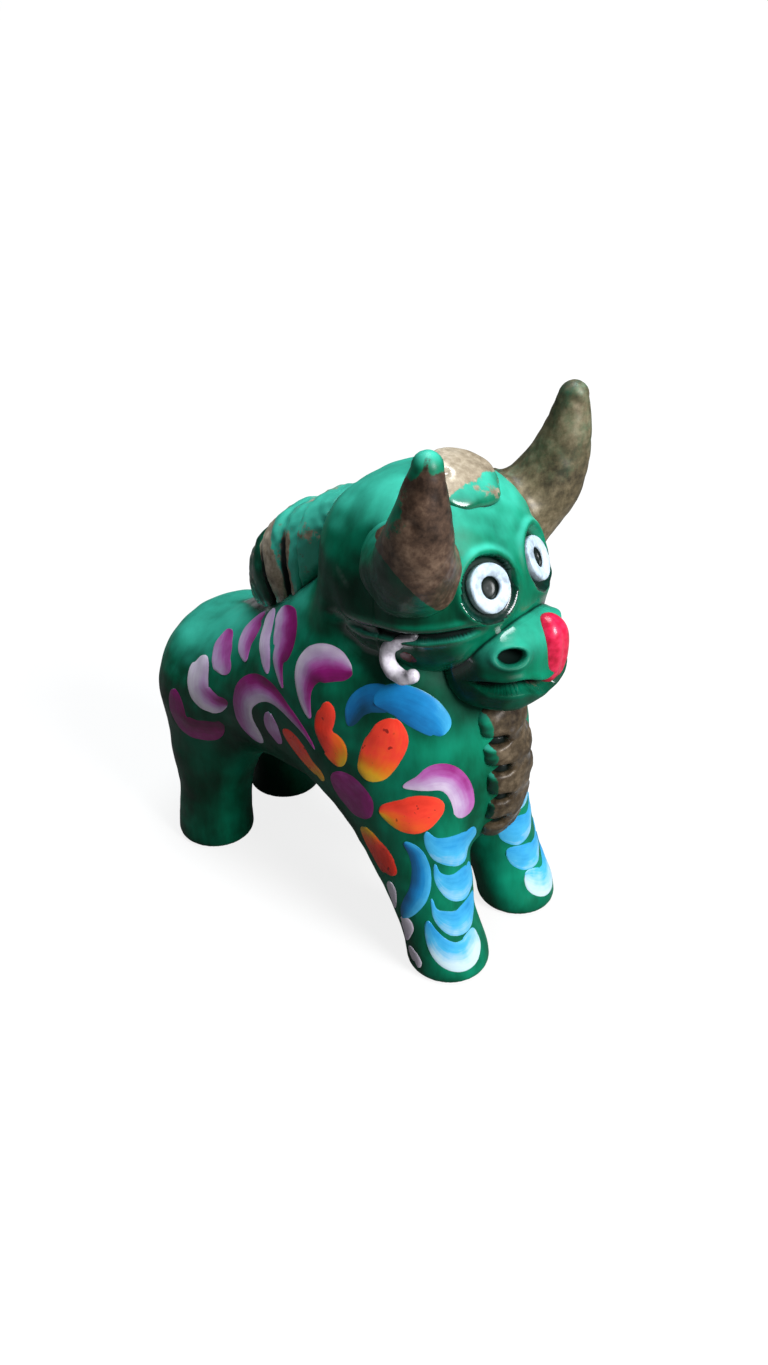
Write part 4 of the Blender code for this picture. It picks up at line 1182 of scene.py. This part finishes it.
worn = 0.06 + 0.2 * np.exp(-gap / 0.6) + 0.7 * (1 - fade(spread, 0.2, 0.5))
# painted shade at the root and between the tuft's strands
hollow = np.maximum(0.8 * np.exp(-gap / 0.25) * fade(spread, 0.2, 0.5), 0.7 * strands)
quads, triangles, uv = tubeFaces(*rings.shape[:2])
piece = addPiece("tail_coil", points, quads, triangles, bronzeHorn, uv, {"worn": worn, "hollow": hollow})
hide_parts("tail")
print("crest, dewlap, forelock and tail made")


# Brush strokes are thin lens-shaped films of paint laid on the skin. Each runs along
# (x, y, z, half width) points on the right side and is repeated on the left. The tint gives
# how pale the load is at the start, middle and end of the stroke, first on its left hand and
# then on its right hand as one looks at it; lean slides the right edge along the stroke.
petals = {
    "top": {"path": [(-14.3, -13.3, 28.9, 0), (-14.3, -13.7, 29.9, 1.9), (-14.1, -14.5, 31.6, 2.5),
                     (-13.8, -15.2, 33.6, 2.81), (-13.3, -15.6, 35.3, 2.8), (-12.9, -15.7, 36.8, 2.13),
                     (-12.4, -16.0, 38.3, 0)],
            "tint": [(0.95, 0.95), (0.42, 0.42), (0.38, 0.38)], "lean": (0.15, 0.3, 0.3)},
    "bent": {"path": [(-14.3, -6.8, 38.0, 0), (-14.5, -7.1, 37.1, 1.15), (-14.7, -6.9, 35.5, 1.43),
                      (-14.8, -6.7, 33.8, 1.35), (-14.8, -7.2, 32.7, 1.62), (-14.7, -8.2, 31.9, 2.1),
                      (-14.6, -8.7, 30.5, 1.73), (-14.5, -9.0, 29.1, 0)],
             "tint": [(0.36, 0.36), (0.36, 0.2), (0.95, 0.6)], "lean": (0.3, 0.2, 0.1)},
    "edge": {"path": [(-14.4, 0.6, 30.8, 0), (-14.4, -0.3, 30.3, 1.28), (-14.3, -1.4, 29.4, 1.7),
                      (-14.1, -2.6, 27.8, 1.6), (-13.9, -3.9, 26.7, 1.33), (-13.9, -5.1, 25.9, 1.15),
                      (-13.6, -5.4, 24.9, 0)],
             "tint": [(0.36, 0.3), (0.38, 0.38), (0.9, 0.95)]},
    "right": {"path": [(-13.8, -14.9, 24.5, 0), (-13.6, -15.7, 24.6, 1.39), (-13.2, -17.0, 24.6, 2.25),
                       (-12.6, -18.5, 24.7, 2.81), (-11.7, -20.0, 25.3, 2.77), (-10.7, -21.2, 25.8, 2.1),
                       (-9.7, -22.1, 26.1, 0)],
              "tint": [(0.35, 1.0), (0.33, 0.48), (0.4, 0.4)], "lean": (0.0, -0.1, -0.25)},
    "leg": {"path": [(-13.6, -12.2, 20.6, 0), (-13.4, -12.5, 19.8, 1.33), (-13.2, -13.3, 18.2, 2.0),
                     (-13.1, -14.5, 16.8, 2.14), (-13.1, -15.4, 15.5, 2.09), (-13.1, -16.2, 14.8, 1.43),
                     (-13.1, -16.5, 14.2, 0)],
            "tint": [(0.9, 0.9), (0.36, 0.36), (0.24, 0.2)]},
}
purples = {
    "heart": {"path": [(-14.3, -7.5, 27.2, 0), (-14.3, -8.5, 26.7, 2.2), (-14.2, -9.9, 25.9, 3.15),
                       (-14.1, -11.2, 24.8, 3.3), (-14.0, -12.2, 23.6, 2.7), (-13.9, -13.2, 22.5, 0)],
              "tint": [(0.4, 0.4), (0.43, 0.38), (0.38, 0.4)]},
    "comma": {"path": [(-12.9, -17.8, 29.0, 0), (-12.3, -18.8, 29.4, 0.74), (-11.4, -20.1, 29.9, 1.35),
                       (-10.4, -21.1, 30.5, 2.0), (-9.4, -22.0, 30.4, 2.0), (-8.5, -22.8, 29.4, 1.8),
                       (-7.9, -23.2, 28.0, 1.72), (-7.6, -23.5, 26.5, 1.63), (-7.5, -23.5, 24.7, 1.34),
                       (-7.8, -23.4, 23.8, 0)],
              "tint": [(0.8, 0.9), (0.42, 0.9), (0.68, 0.85)], "lean": (-0.1, 0.3, 0.2)},
    "hook": {"path": [(-14.9, -4.6, 34.8, 0), (-14.7, -3.8, 36.7, 0.99), (-14.4, -3.3, 38.4, 1.44),
                      (-14.0, -3.3, 39.8, 1.98), (-13.7, -3.7, 41.1, 2.52), (-13.4, -5.0, 42.3, 2.71),
                      (-13.1, -6.6, 43.0, 2.46), (-12.7, -8.2, 43.1, 1.92), (-12.5, -9.3, 42.9, 1.04),
                      (-12.4, -9.8, 42.8, 0)],
             "tint": [(0.9, 0.6), (0.95, 0.24), (0.85, 0.3)], "lean": (0.1, 0.2, 0.5)},
    "upright": {"path": [(-14.1, 0.6, 36.9, 0), (-13.4, 1.7, 38.7, 0.83), (-12.8, 2.3, 39.9, 1.27),
                         (-12.2, 1.9, 41.5, 2.2), (-11.1, 2.5, 43.1, 2.8), (-9.8, 3.4, 44.2, 2.5),
                         (-8.7, 4.6, 44.6, 1.7), (-7.8, 5.4, 44.7, 0)],
                "tint": [(0.85, 0.5), (0.8, 0.26), (0.88, 0.36)], "lean": (0.0, 0.1, -0.8)},
    "pale": {"path": [(-13.3, 4.0, 37.4, 0), (-12.2, 5.2, 39.3, 1.15), (-10.7, 6.5, 40.8, 1.26),
                      (-9.2, 7.2, 42.0, 1.4), (-7.8, 7.8, 42.8, 1.15), (-7.1, 8.0, 43.1, 0)],
             "tint": [(0.8, 0.75), (0.95, 0.82), (0.88, 0.8)], "lean": (-0.2, -0.35, -0.45)},
    "second": {"path": [(-12.0, 9.0, 36.8, 0), (-11.4, 9.8, 37.4, 1.05), (-10.6, 10.5, 38.2, 1.69),
                        (-8.9, 10.7, 39.9, 2.3), (-7.8, 10.9, 41.6, 1.3), (-7.4, 10.4, 42.6, 0)],
               "tint": [(0.8, 0.65), (0.82, 0.45), (0.6, 0.4)]},
    "third": {"path": [(-12.5, 13.0, 33.4, 0), (-12.1, 13.5, 34.0, 1.81), (-11.4, 14.5, 34.8, 2.11),
                       (-10.2, 15.5, 36.2, 2.43), (-8.7, 16.1, 37.0, 1.65), (-7.7, 16.8, 37.3, 0)],
              "tint": [(0.85, 0.65), (0.78, 0.5), (0.6, 0.45)], "lean": (-0.3, -0.3, -0.3)},
    "crescent": {"path": [(-10.9, 19.1, 33.9, 0), (-11.7, 18.8, 33.0, 1.99), (-12.7, 18.7, 31.4, 2.62),
                          (-13.3, 18.1, 29.7, 2.51), (-13.4, 16.5, 28.7, 2.29), (-13.4, 14.5, 28.4, 1.62),
                          (-13.3, 11.9, 29.4, 0)],
                 "tint": [(0.95, 0.98), (0.72, 1.02), (0.18, 0.85)], "lean": (0.1, -0.3, -1.2)},
    "low": {"path": [(-13.1, 23.8, 27.3, 0), (-13.3, 23.1, 25.6, 1.9), (-13.3, 22.3, 23.4, 2.12),
                     (-13.2, 20.0, 22.6, 2.03), (-13.0, 17.5, 22.8, 2.05), (-12.6, 15.2, 23.4, 1.82),
                     (-12.5, 13.8, 24.1, 0)],
            "tint": [(0.36, 0.4), (0.16, 0.36), (0.12, 0.3)], "lean": (0.1, -0.8, -0.9)},
    "swirl": {"path": [(-14.7, -5.2, 30.2, 0), (-14.8, -3.5, 32.6, 0.5), (-14.7, -1.3, 34.0, 0.87),
                       (-14.3, 1.0, 34.9, 1.09), (-13.9, 3.4, 35.4, 1.58), (-13.5, 5.7, 34.8, 2.05),
                       (-13.4, 7.8, 33.3, 2.3), (-13.5, 8.7, 31.4, 2.13), (-13.5, 8.6, 29.7, 2.09),
                       (-13.4, 8.3, 28.2, 2.2), (-13.1, 7.6, 26.8, 2.1), (-12.5, 6.5, 25.0, 0)],
              "tint": [(0.6, 0.45), (0.9, 0.2), (0.92, 0.72)]},
    "dab": {"path": [(-14.2, 2.9, 32.4, 0), (-14.2, 3.0, 31.4, 1.21), (-14.1, 2.8, 29.8, 1.5),
                     (-13.8, 2.5, 28.4, 1.25), (-13.5, 2.5, 27.2, 0)],
            "tint": [(0.72, 0.72), (0.76, 0.7), (0.6, 0.6)]},
    "legHigh": {"path": [(-13.1, -16.2, 13.1, 0), (-13.1, -16.3, 12.1, 0.91), (-13.1, -16.5, 10.4, 0.87),
                         (-12.8, -16.6, 8.4, 0)], "tint": [(1.05, 1.05), (1.1, 1.05), (1.0, 1.0)]},
    "legMiddle": {"path": [(-13.2, -18.0, 7.9, 0), (-13.4, -18.9, 7.5, 1.3), (-13.3, -19.1, 6.0, 1.0),
                           (-13.1, -19.1, 4.5, 0)], "tint": [(1.0, 1.0), (1.05, 1.0), (0.95, 0.95)]},
    "legLow": {"path": [(-13.4, -20.0, 4.2, 0), (-13.5, -20.5, 3.1, 1.1), (-13.7, -21.4, 2.5, 0.86),
                        (-13.8, -21.7, 1.5, 0)], "tint": [(1.0, 1.0), (1.05, 1.0), (0.95, 0.95)]},
}
blues = {
    "arcRear": {"path": [(-14.2, -10.2, 35.6, 0), (-14.0, -10.5, 36.6, 0.95), (-13.6, -11.0, 38.3, 1.45),
                         (-13.1, -12.2, 39.7, 1.75), (-12.5, -13.9, 40.4, 1.95), (-11.9, -15.2, 40.6, 1.6),
                         (-11.5, -16.0, 40.6, 0)],
                "tint": [(0.42, 0.12), (0.5, 0.2), (0.5, 0.25)], "lean": (0.0, 0.1, 0.2)},
    "arcFront": {"path": [(-12.6, -13.4, 39.5, 0), (-12.3, -14.2, 40.0, 1.5), (-11.7, -15.6, 40.4, 2.15),
                          (-10.9, -17.1, 40.0, 2.35), (-10.2, -18.4, 39.2, 2.4), (-9.4, -19.7, 38.2, 2.2),
                          (-8.8, -20.7, 37.0, 1.5), (-8.9, -21.0, 36.0, 0)],
                 "tint": [(0.55, 0.4), (0.52, 0.4), (0.8, 0.5)], "lean": (0.2, 0.1, 0.3), "over": 0.06},
    "scallopHigh": {"path": [(-11.5, -20.5, 22.6, 0), (-11.1, -21.3, 20.7, 1.1), (-10.3, -22.2, 19.6, 1.95),
                             (-9.0, -23.2, 19.1, 2.4), (-7.3, -23.6, 18.9, 2.6), (-6.1, -23.7, 19.5, 1.9),
                             (-5.4, -24.0, 21.2, 0)],
                    "tint": [(0.72, 0.76), (0.68, 0.86), (0.68, 0.78)], "lean": (0.4, 0.2, -0.6),
                    "inward": 16.0},
    "scallopMiddle": {"path": [(-11.0, -21.7, 17.6, 0), (-10.8, -22.3, 15.4, 0.7), (-10.3, -23.0, 14.4, 1.3),
                               (-9.3, -23.8, 13.6, 2.1), (-7.6, -24.2, 13.5, 2.5), (-6.3, -24.0, 13.9, 1.9),
                               (-5.6, -23.8, 15.5, 0)],
                      "tint": [(0.72, 0.76), (0.7, 0.86), (0.68, 0.78)], "lean": (0.4, 0.2, -0.6),
                      "inward": 16.0},
    "scallopLow": {"path": [(-11.8, -21.9, 12.4, 0), (-11.7, -22.8, 10.1, 0.7), (-11.2, -23.7, 9.3, 1.35),
                            (-10.0, -24.8, 8.5, 2.0), (-8.3, -25.1, 8.7, 2.15), (-6.8, -24.8, 9.3, 1.7),
                            (-5.4, -24.2, 10.2, 0)],
                   "tint": [(0.72, 0.76), (0.7, 0.86), (0.7, 0.78)], "lean": (0.3, 0.0, -0.6),
                   "inward": 16.0},
    "toe": {"path": [(-12.6, -22.0, 9.2, 0), (-12.7, -22.7, 7.4, 0.95), (-12.6, -24.1, 5.5, 1.65),
                     (-11.9, -25.8, 4.3, 2.1), (-10.2, -26.9, 4.1, 2.3), (-8.4, -26.8, 4.9, 1.9),
                     (-7.2, -26.2, 6.2, 0)],
            "tint": [(0.6, 0.72), (0.74, 1.0), (0.85, 1.0)], "lean": (0.1, 0.0, -0.5),
            "inward": 16.0},
    "side": {"path": [(-12.8, -18.1, 20.5, 0), (-12.3, -19.4, 19.4, 1.04), (-12.0, -20.2, 17.4, 1.23),
                      (-12.1, -20.5, 15.2, 1.39), (-12.5, -20.4, 12.9, 1.45), (-13.0, -19.7, 10.9, 1.35),
                      (-13.3, -18.4, 8.0, 0)],
             "tint": [(0.66, 0.32), (0.76, 0.28), (0.8, 0.5)], "lean": (0.0, 0.1, 0.4)},
}
earDab = {"inside": {"path": [(-11.9, -17.7, 47.0, 0), (-12.0, -17.4, 46.4, 0.9), (-11.9, -17.2, 45.6, 1.1),
                              (-11.6, -17.1, 44.9, 0)], "tint": [(0.5, 0.5), (0.5, 0.5), (0.5, 0.5)]}}
film = {"height": 0.10, "stagger": 0.005, "sink": 0.03, "under": 0.14, "along": 80, "across": 22}


def strokeCurve(path):
    # smooth curve through the stroke's points; the square of the half width is what is
    # smoothed, so blunt ends come out round
    rows = np.asarray(path, float)
    rows[:, 3] **= 2
    gaps = np.linalg.norm(np.diff(rows[:, :3], axis=0), axis=1)
    place = np.concatenate([[0], np.cumsum(gaps)]) / gaps.sum()
    slope = np.gradient(rows, place, axis=0)
    u = np.linspace(0, 1, film["along"])
    u = 0.6 * (0.5 - 0.5 * np.cos(math.pi * u)) + 0.4 * u
    line = np.stack(cubicThrough(place, rows, slope, u), -1)
    line[:, 3] = np.maximum(line[:, 3], np.minimum(u, 1 - u) * 0.5)
    smooth = line.copy()
    for _ in range(14):
        smooth[1:-1] = 0.5 * smooth[1:-1] + 0.25 * (smooth[2:] + smooth[:-2])
    return u, smooth[:, :3], np.sqrt(np.maximum(smooth[:, 3], 0))


def strokeFilm(field, stroke, side, height):
    # lens profile carried along the stroke: across the stroke the film stands
    # height * sqrt(1 - v^2) proud, its rim dips under the skin and its back lies below
    u, line, half = strokeCurve(stroke["path"])
    tints = np.asarray(stroke["tint"], float)
    lean = np.interp(u, (0.0, 0.5, 1.0), stroke.get("lean", (0.0, 0.0, 0.0)))
    if side > 0:
        line = line * np.array([-1, 1, 1])
        tints, lean = tints[:, ::-1], -lean
        # strokes of the left front leg sit further round its inner side
        turn = math.radians(stroke.get("inward", 0.0))
        inner, back, _, _ = stationCurve(legs["front"]["rows"], line[:, 2])
        axis = np.stack([legs["front"]["foot"][0] - inner, legs["front"]["foot"][1] + back], -1)
        arm = line[:, :2] - axis
        line[:, :2] = axis + np.stack([arm[:, 0] * math.cos(turn) + arm[:, 1] * math.sin(turn),
                                       arm[:, 1] * math.cos(turn) - arm[:, 0] * math.sin(turn)], -1)
    line = settleOn(field, line, 6)
    normal = outward(field, line)
    way = np.gradient(line, axis=0)
    way -= normal * (way * normal).sum(-1)[:, None]
    way /= np.maximum(np.linalg.norm(way, axis=1), 1e-9)[:, None]
    cross = (np.cross(normal, way) - way * lean[:, None]) * half[:, None]
    v = np.sin(np.linspace(-math.pi / 2, math.pi / 2, film["across"]))
    flat = settleOn(field, line[:, None] + cross[:, None] * v[None, :, None], 4)
    lift = outward(field, flat)
    dome = np.sqrt(np.maximum(1 - v**2, 0))[None, :, None]
    top = flat + lift * (height * dome - film["sink"])
    back = flat[:, 1:-1][:, ::-1] - lift[:, 1:-1][:, ::-1] * film["under"]
    rings = np.concatenate([top, back], axis=1)[1:-1]
    start, end = (line[k] - normal[k] * film["sink"] for k in (0, -1))
    # tint: blended from hand to hand across and through start, middle and end along
    handed = [np.interp(u, (0.0, 0.45, 1.0), tints[:, k]) for k in (0, 1)]
    share = fade((v + 1) / 2, 0.12, 0.88)
    tint = handed[0][:, None] * share + handed[1][:, None] * (1 - share)
    tint = np.concatenate([tint, tint[:, 1:-1][:, ::-1]], axis=1)[1:-1]
    rim = np.maximum(np.abs(v)[None, :] ** 8, np.clip(1 - np.minimum(u, 1 - u)[:, None] / 0.025, 0, 1))
    rim = np.concatenate([rim, np.ones((len(u), film["across"] - 2))], axis=1)[1:-1]
    marks = {"tint": np.concatenate([tint.ravel(), tint[0, :1], tint[-1, :1]]),
             "rim": np.concatenate([rim.ravel(), [1, 1]])}
    return tubePoints(rings, start, end), rings.shape[:2], marks


def strokeSet(name, strokes, field, material):
    # all strokes of one colour in one piece, each film closed, right side and left
    allPoints, allQuads, allTriangles, uvQuads, uvTriangles = [], [], [], [], []
    marks = {"tint": [], "rim": []}
    base = 0
    for number, stroke in enumerate(strokes.values()):
        for side in (-1, 1):
            # neighbours differ a little in height, so that overlapping films don't flicker
            height = film["height"] + film["stagger"] * (number % 7) + stroke.get("over", 0.0)
            points, shape, values = strokeFilm(field, stroke, side, height)
            quads, triangles, uv = tubeFaces(*shape)
            split = np.concatenate([quads[:, [0, 1, 2]], quads[:, [0, 2, 3]], triangles])
            turned = slice(None) if signedVolume(points, split) > 0 else slice(None, None, -1)
            allPoints.append(points)
            allQuads.append(quads[:, turned] + base)
            allTriangles.append(triangles[:, turned] + base)
            uvQuads.append(uv[0][:, turned])
            uvTriangles.append(uv[1][:, turned])
            for key in marks:
                marks[key].append(values[key])
            base += len(points)
    piece = addPiece(name, np.concatenate(allPoints), np.concatenate(allQuads),
                     np.concatenate(allTriangles), material,
                     (np.concatenate(uvQuads), np.concatenate(uvTriangles)),
                     {key: np.concatenate(value) for key, value in marks.items()})
    print(name + ":", len(strokes), "strokes a side")


strokeSet("petal_strokes", petals, bodyField, orangeStroke)
strokeSet("purple_strokes", purples, bodyField, purpleStroke)
strokeSet("blue_strokes", blues, bodyField, blueStroke)
strokeSet("ear_dabs", earDab, headField, darkRedPaint)


# floor, light and camera
stage = {"floor": "#6e6e6c", "size": 8.0, "glowNear": 0.84, "glowFar": 1.0,
         "nearReach": 0.10, "farReach": 0.50, "inGloss": 0.04, "drop": 0.0001, "aim": (0, -5, 35)}
lamps = {
    # place in millimetres, size in metres, watts, colour
    "softbox": ((70, 40, 610), 0.34, 3.7, "#f0f7ff"),
    "window": ((-30, -460, 320), 0.24, 4.4, "#fbfbff"),
    "strip": ((-420, 60, 330), 0.10, 0.05, "#f4f8ff"),
}
camera = {
    # place in millimetres, turn from the right side towards the face and tilt down in degrees
    "place": (-107.0, -89.3, 117.9), "turn": 38.3, "tilt": 31.9,
    "focalPixels": 1191.0, "imageHeight": 1365.0, "sensor": 36.0,
}
worldLevel = 0.03


def seenWhite(tree):
    # 1 for the eye and through glass, a little in gloss, and 0 for the light on the object
    inGloss = addNode(tree, "LightPath", out="Is Glossy Ray")
    through = addNode(tree, "LightPath", out="Is Transmission Ray")
    seen = addNode(tree, "LightPath", out="Is Camera Ray")
    seen = addNode(tree, "Math", {"operation": "ADD"}, {0: seen, 1: through})
    return addNode(tree, "Math", {"operation": "MULTIPLY_ADD", 1: stage["inGloss"], "use_clamp": True},
                   {0: inGloss, 2: seen})


half = stage["size"] / 2
mesh = bpy.data.meshes.new("floor")
corners = [(x * half, y * half, -stage["drop"]) for x, y in ((-1, -1), (1, -1), (1, 1), (-1, 1))]
mesh.from_pydata(corners, [], [(0, 1, 2, 3)])
floor = bpy.data.objects.new("floor", mesh)
bpy.context.scene.collection.objects.link(floor)
floor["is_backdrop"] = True
# matt paper: its own lit colour, with the object's shadow, plus plain white for the eye
material, tree, shader = newMaterial("matt_paper_sweep", {
    "Base Color": hexColour(stage["floor"]), "Roughness": 0.95, "Specular IOR Level": 0.05})
place = addNode(tree, "TexCoord", out="Object")
reach = addNode(tree, "VectorMath", {"operation": "LENGTH"}, {0: place}, "Value")
glow = addNode(tree, "MapRange", {
    "interpolation_type": "SMOOTHSTEP", "From Min": stage["nearReach"], "From Max": stage["farReach"],
    "To Min": stage["glowNear"], "To Max": stage["glowFar"]}, {"Value": reach})
seen = seenWhite(tree)
strength = addNode(tree, "Math", {"operation": "MULTIPLY"}, {0: seen, 1: glow})
white = addNode(tree, "Emission", {"Color": (1.0, 1.0, 1.0, 1.0)}, {"Strength": strength})
both = addNode(tree, "AddShader", links={0: shader.outputs[0], 1: white})
tree.links.new(both, tree.nodes["Material Output"].inputs["Surface"])
mesh.materials.append(material)

for name, (place, size, watts, colour) in lamps.items():
    lamp = bpy.data.lights.new(name, "AREA")
    lamp.shape = "DISK"
    lamp.size = size
    lamp.energy = watts
    lamp.color = hexColour(colour)[:3]
    holder = bpy.data.objects.new(name, lamp)
    holder.location = toFrame(place)
    aim = toFrame(stage["aim"]) - toFrame(place)
    aim /= np.linalg.norm(aim)
    side = np.cross(aim, (0, 1, 0))
    side /= np.linalg.norm(side)
    holder.rotation_mode = "QUATERNION"
    axes = np.stack([side, np.cross(side, aim), -aim], 1)
    holder.rotation_quaternion = mathutils.Matrix(axes.tolist()).to_quaternion()
    bpy.context.scene.collection.objects.link(holder)

world = bpy.data.worlds.new("studio")
world.use_nodes = True
bpy.context.scene.world = world
tree = world.node_tree
seen = seenWhite(tree)
strength = addNode(tree, "Math", {"operation": "MAXIMUM", 1: worldLevel}, {0: seen})
tree.nodes["Background"].inputs["Color"].default_value = (1.0, 1.0, 1.0, 1.0)
tree.links.new(strength, tree.nodes["Background"].inputs["Strength"])

lens = bpy.data.cameras.new("camera")
lens.sensor_width = camera["sensor"]
lens.lens = camera["sensor"] * camera["focalPixels"] / camera["imageHeight"]
lens.clip_start = 0.005
viewer = bpy.data.objects.new("camera", lens)
viewer.location = toFrame(camera["place"])
viewer.rotation_mode = "QUATERNION"
turn, down = math.radians(camera["turn"]), math.radians(camera["tilt"])
right = np.array([math.sin(turn), -math.cos(turn), 0.0])
back = np.array([-math.cos(down) * math.cos(turn), -math.cos(down) * math.sin(turn), math.sin(down)])
axes = np.stack([right, np.cross(back, right), back], 1)
viewer.rotation_quaternion = mathutils.Matrix(axes.tolist()).to_quaternion()
bpy.context.scene.collection.objects.link(viewer)
bpy.context.scene.camera = viewer
bpy.context.scene.view_settings.view_transform = "Standard"

bpy.context.view_layer.update()
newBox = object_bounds()
change = [[round((b - a) * 1000, 2) for a, b in zip(p, q)] for p, q in zip(cadBox, newBox)]
print("visual box against CAD, mm:", change)
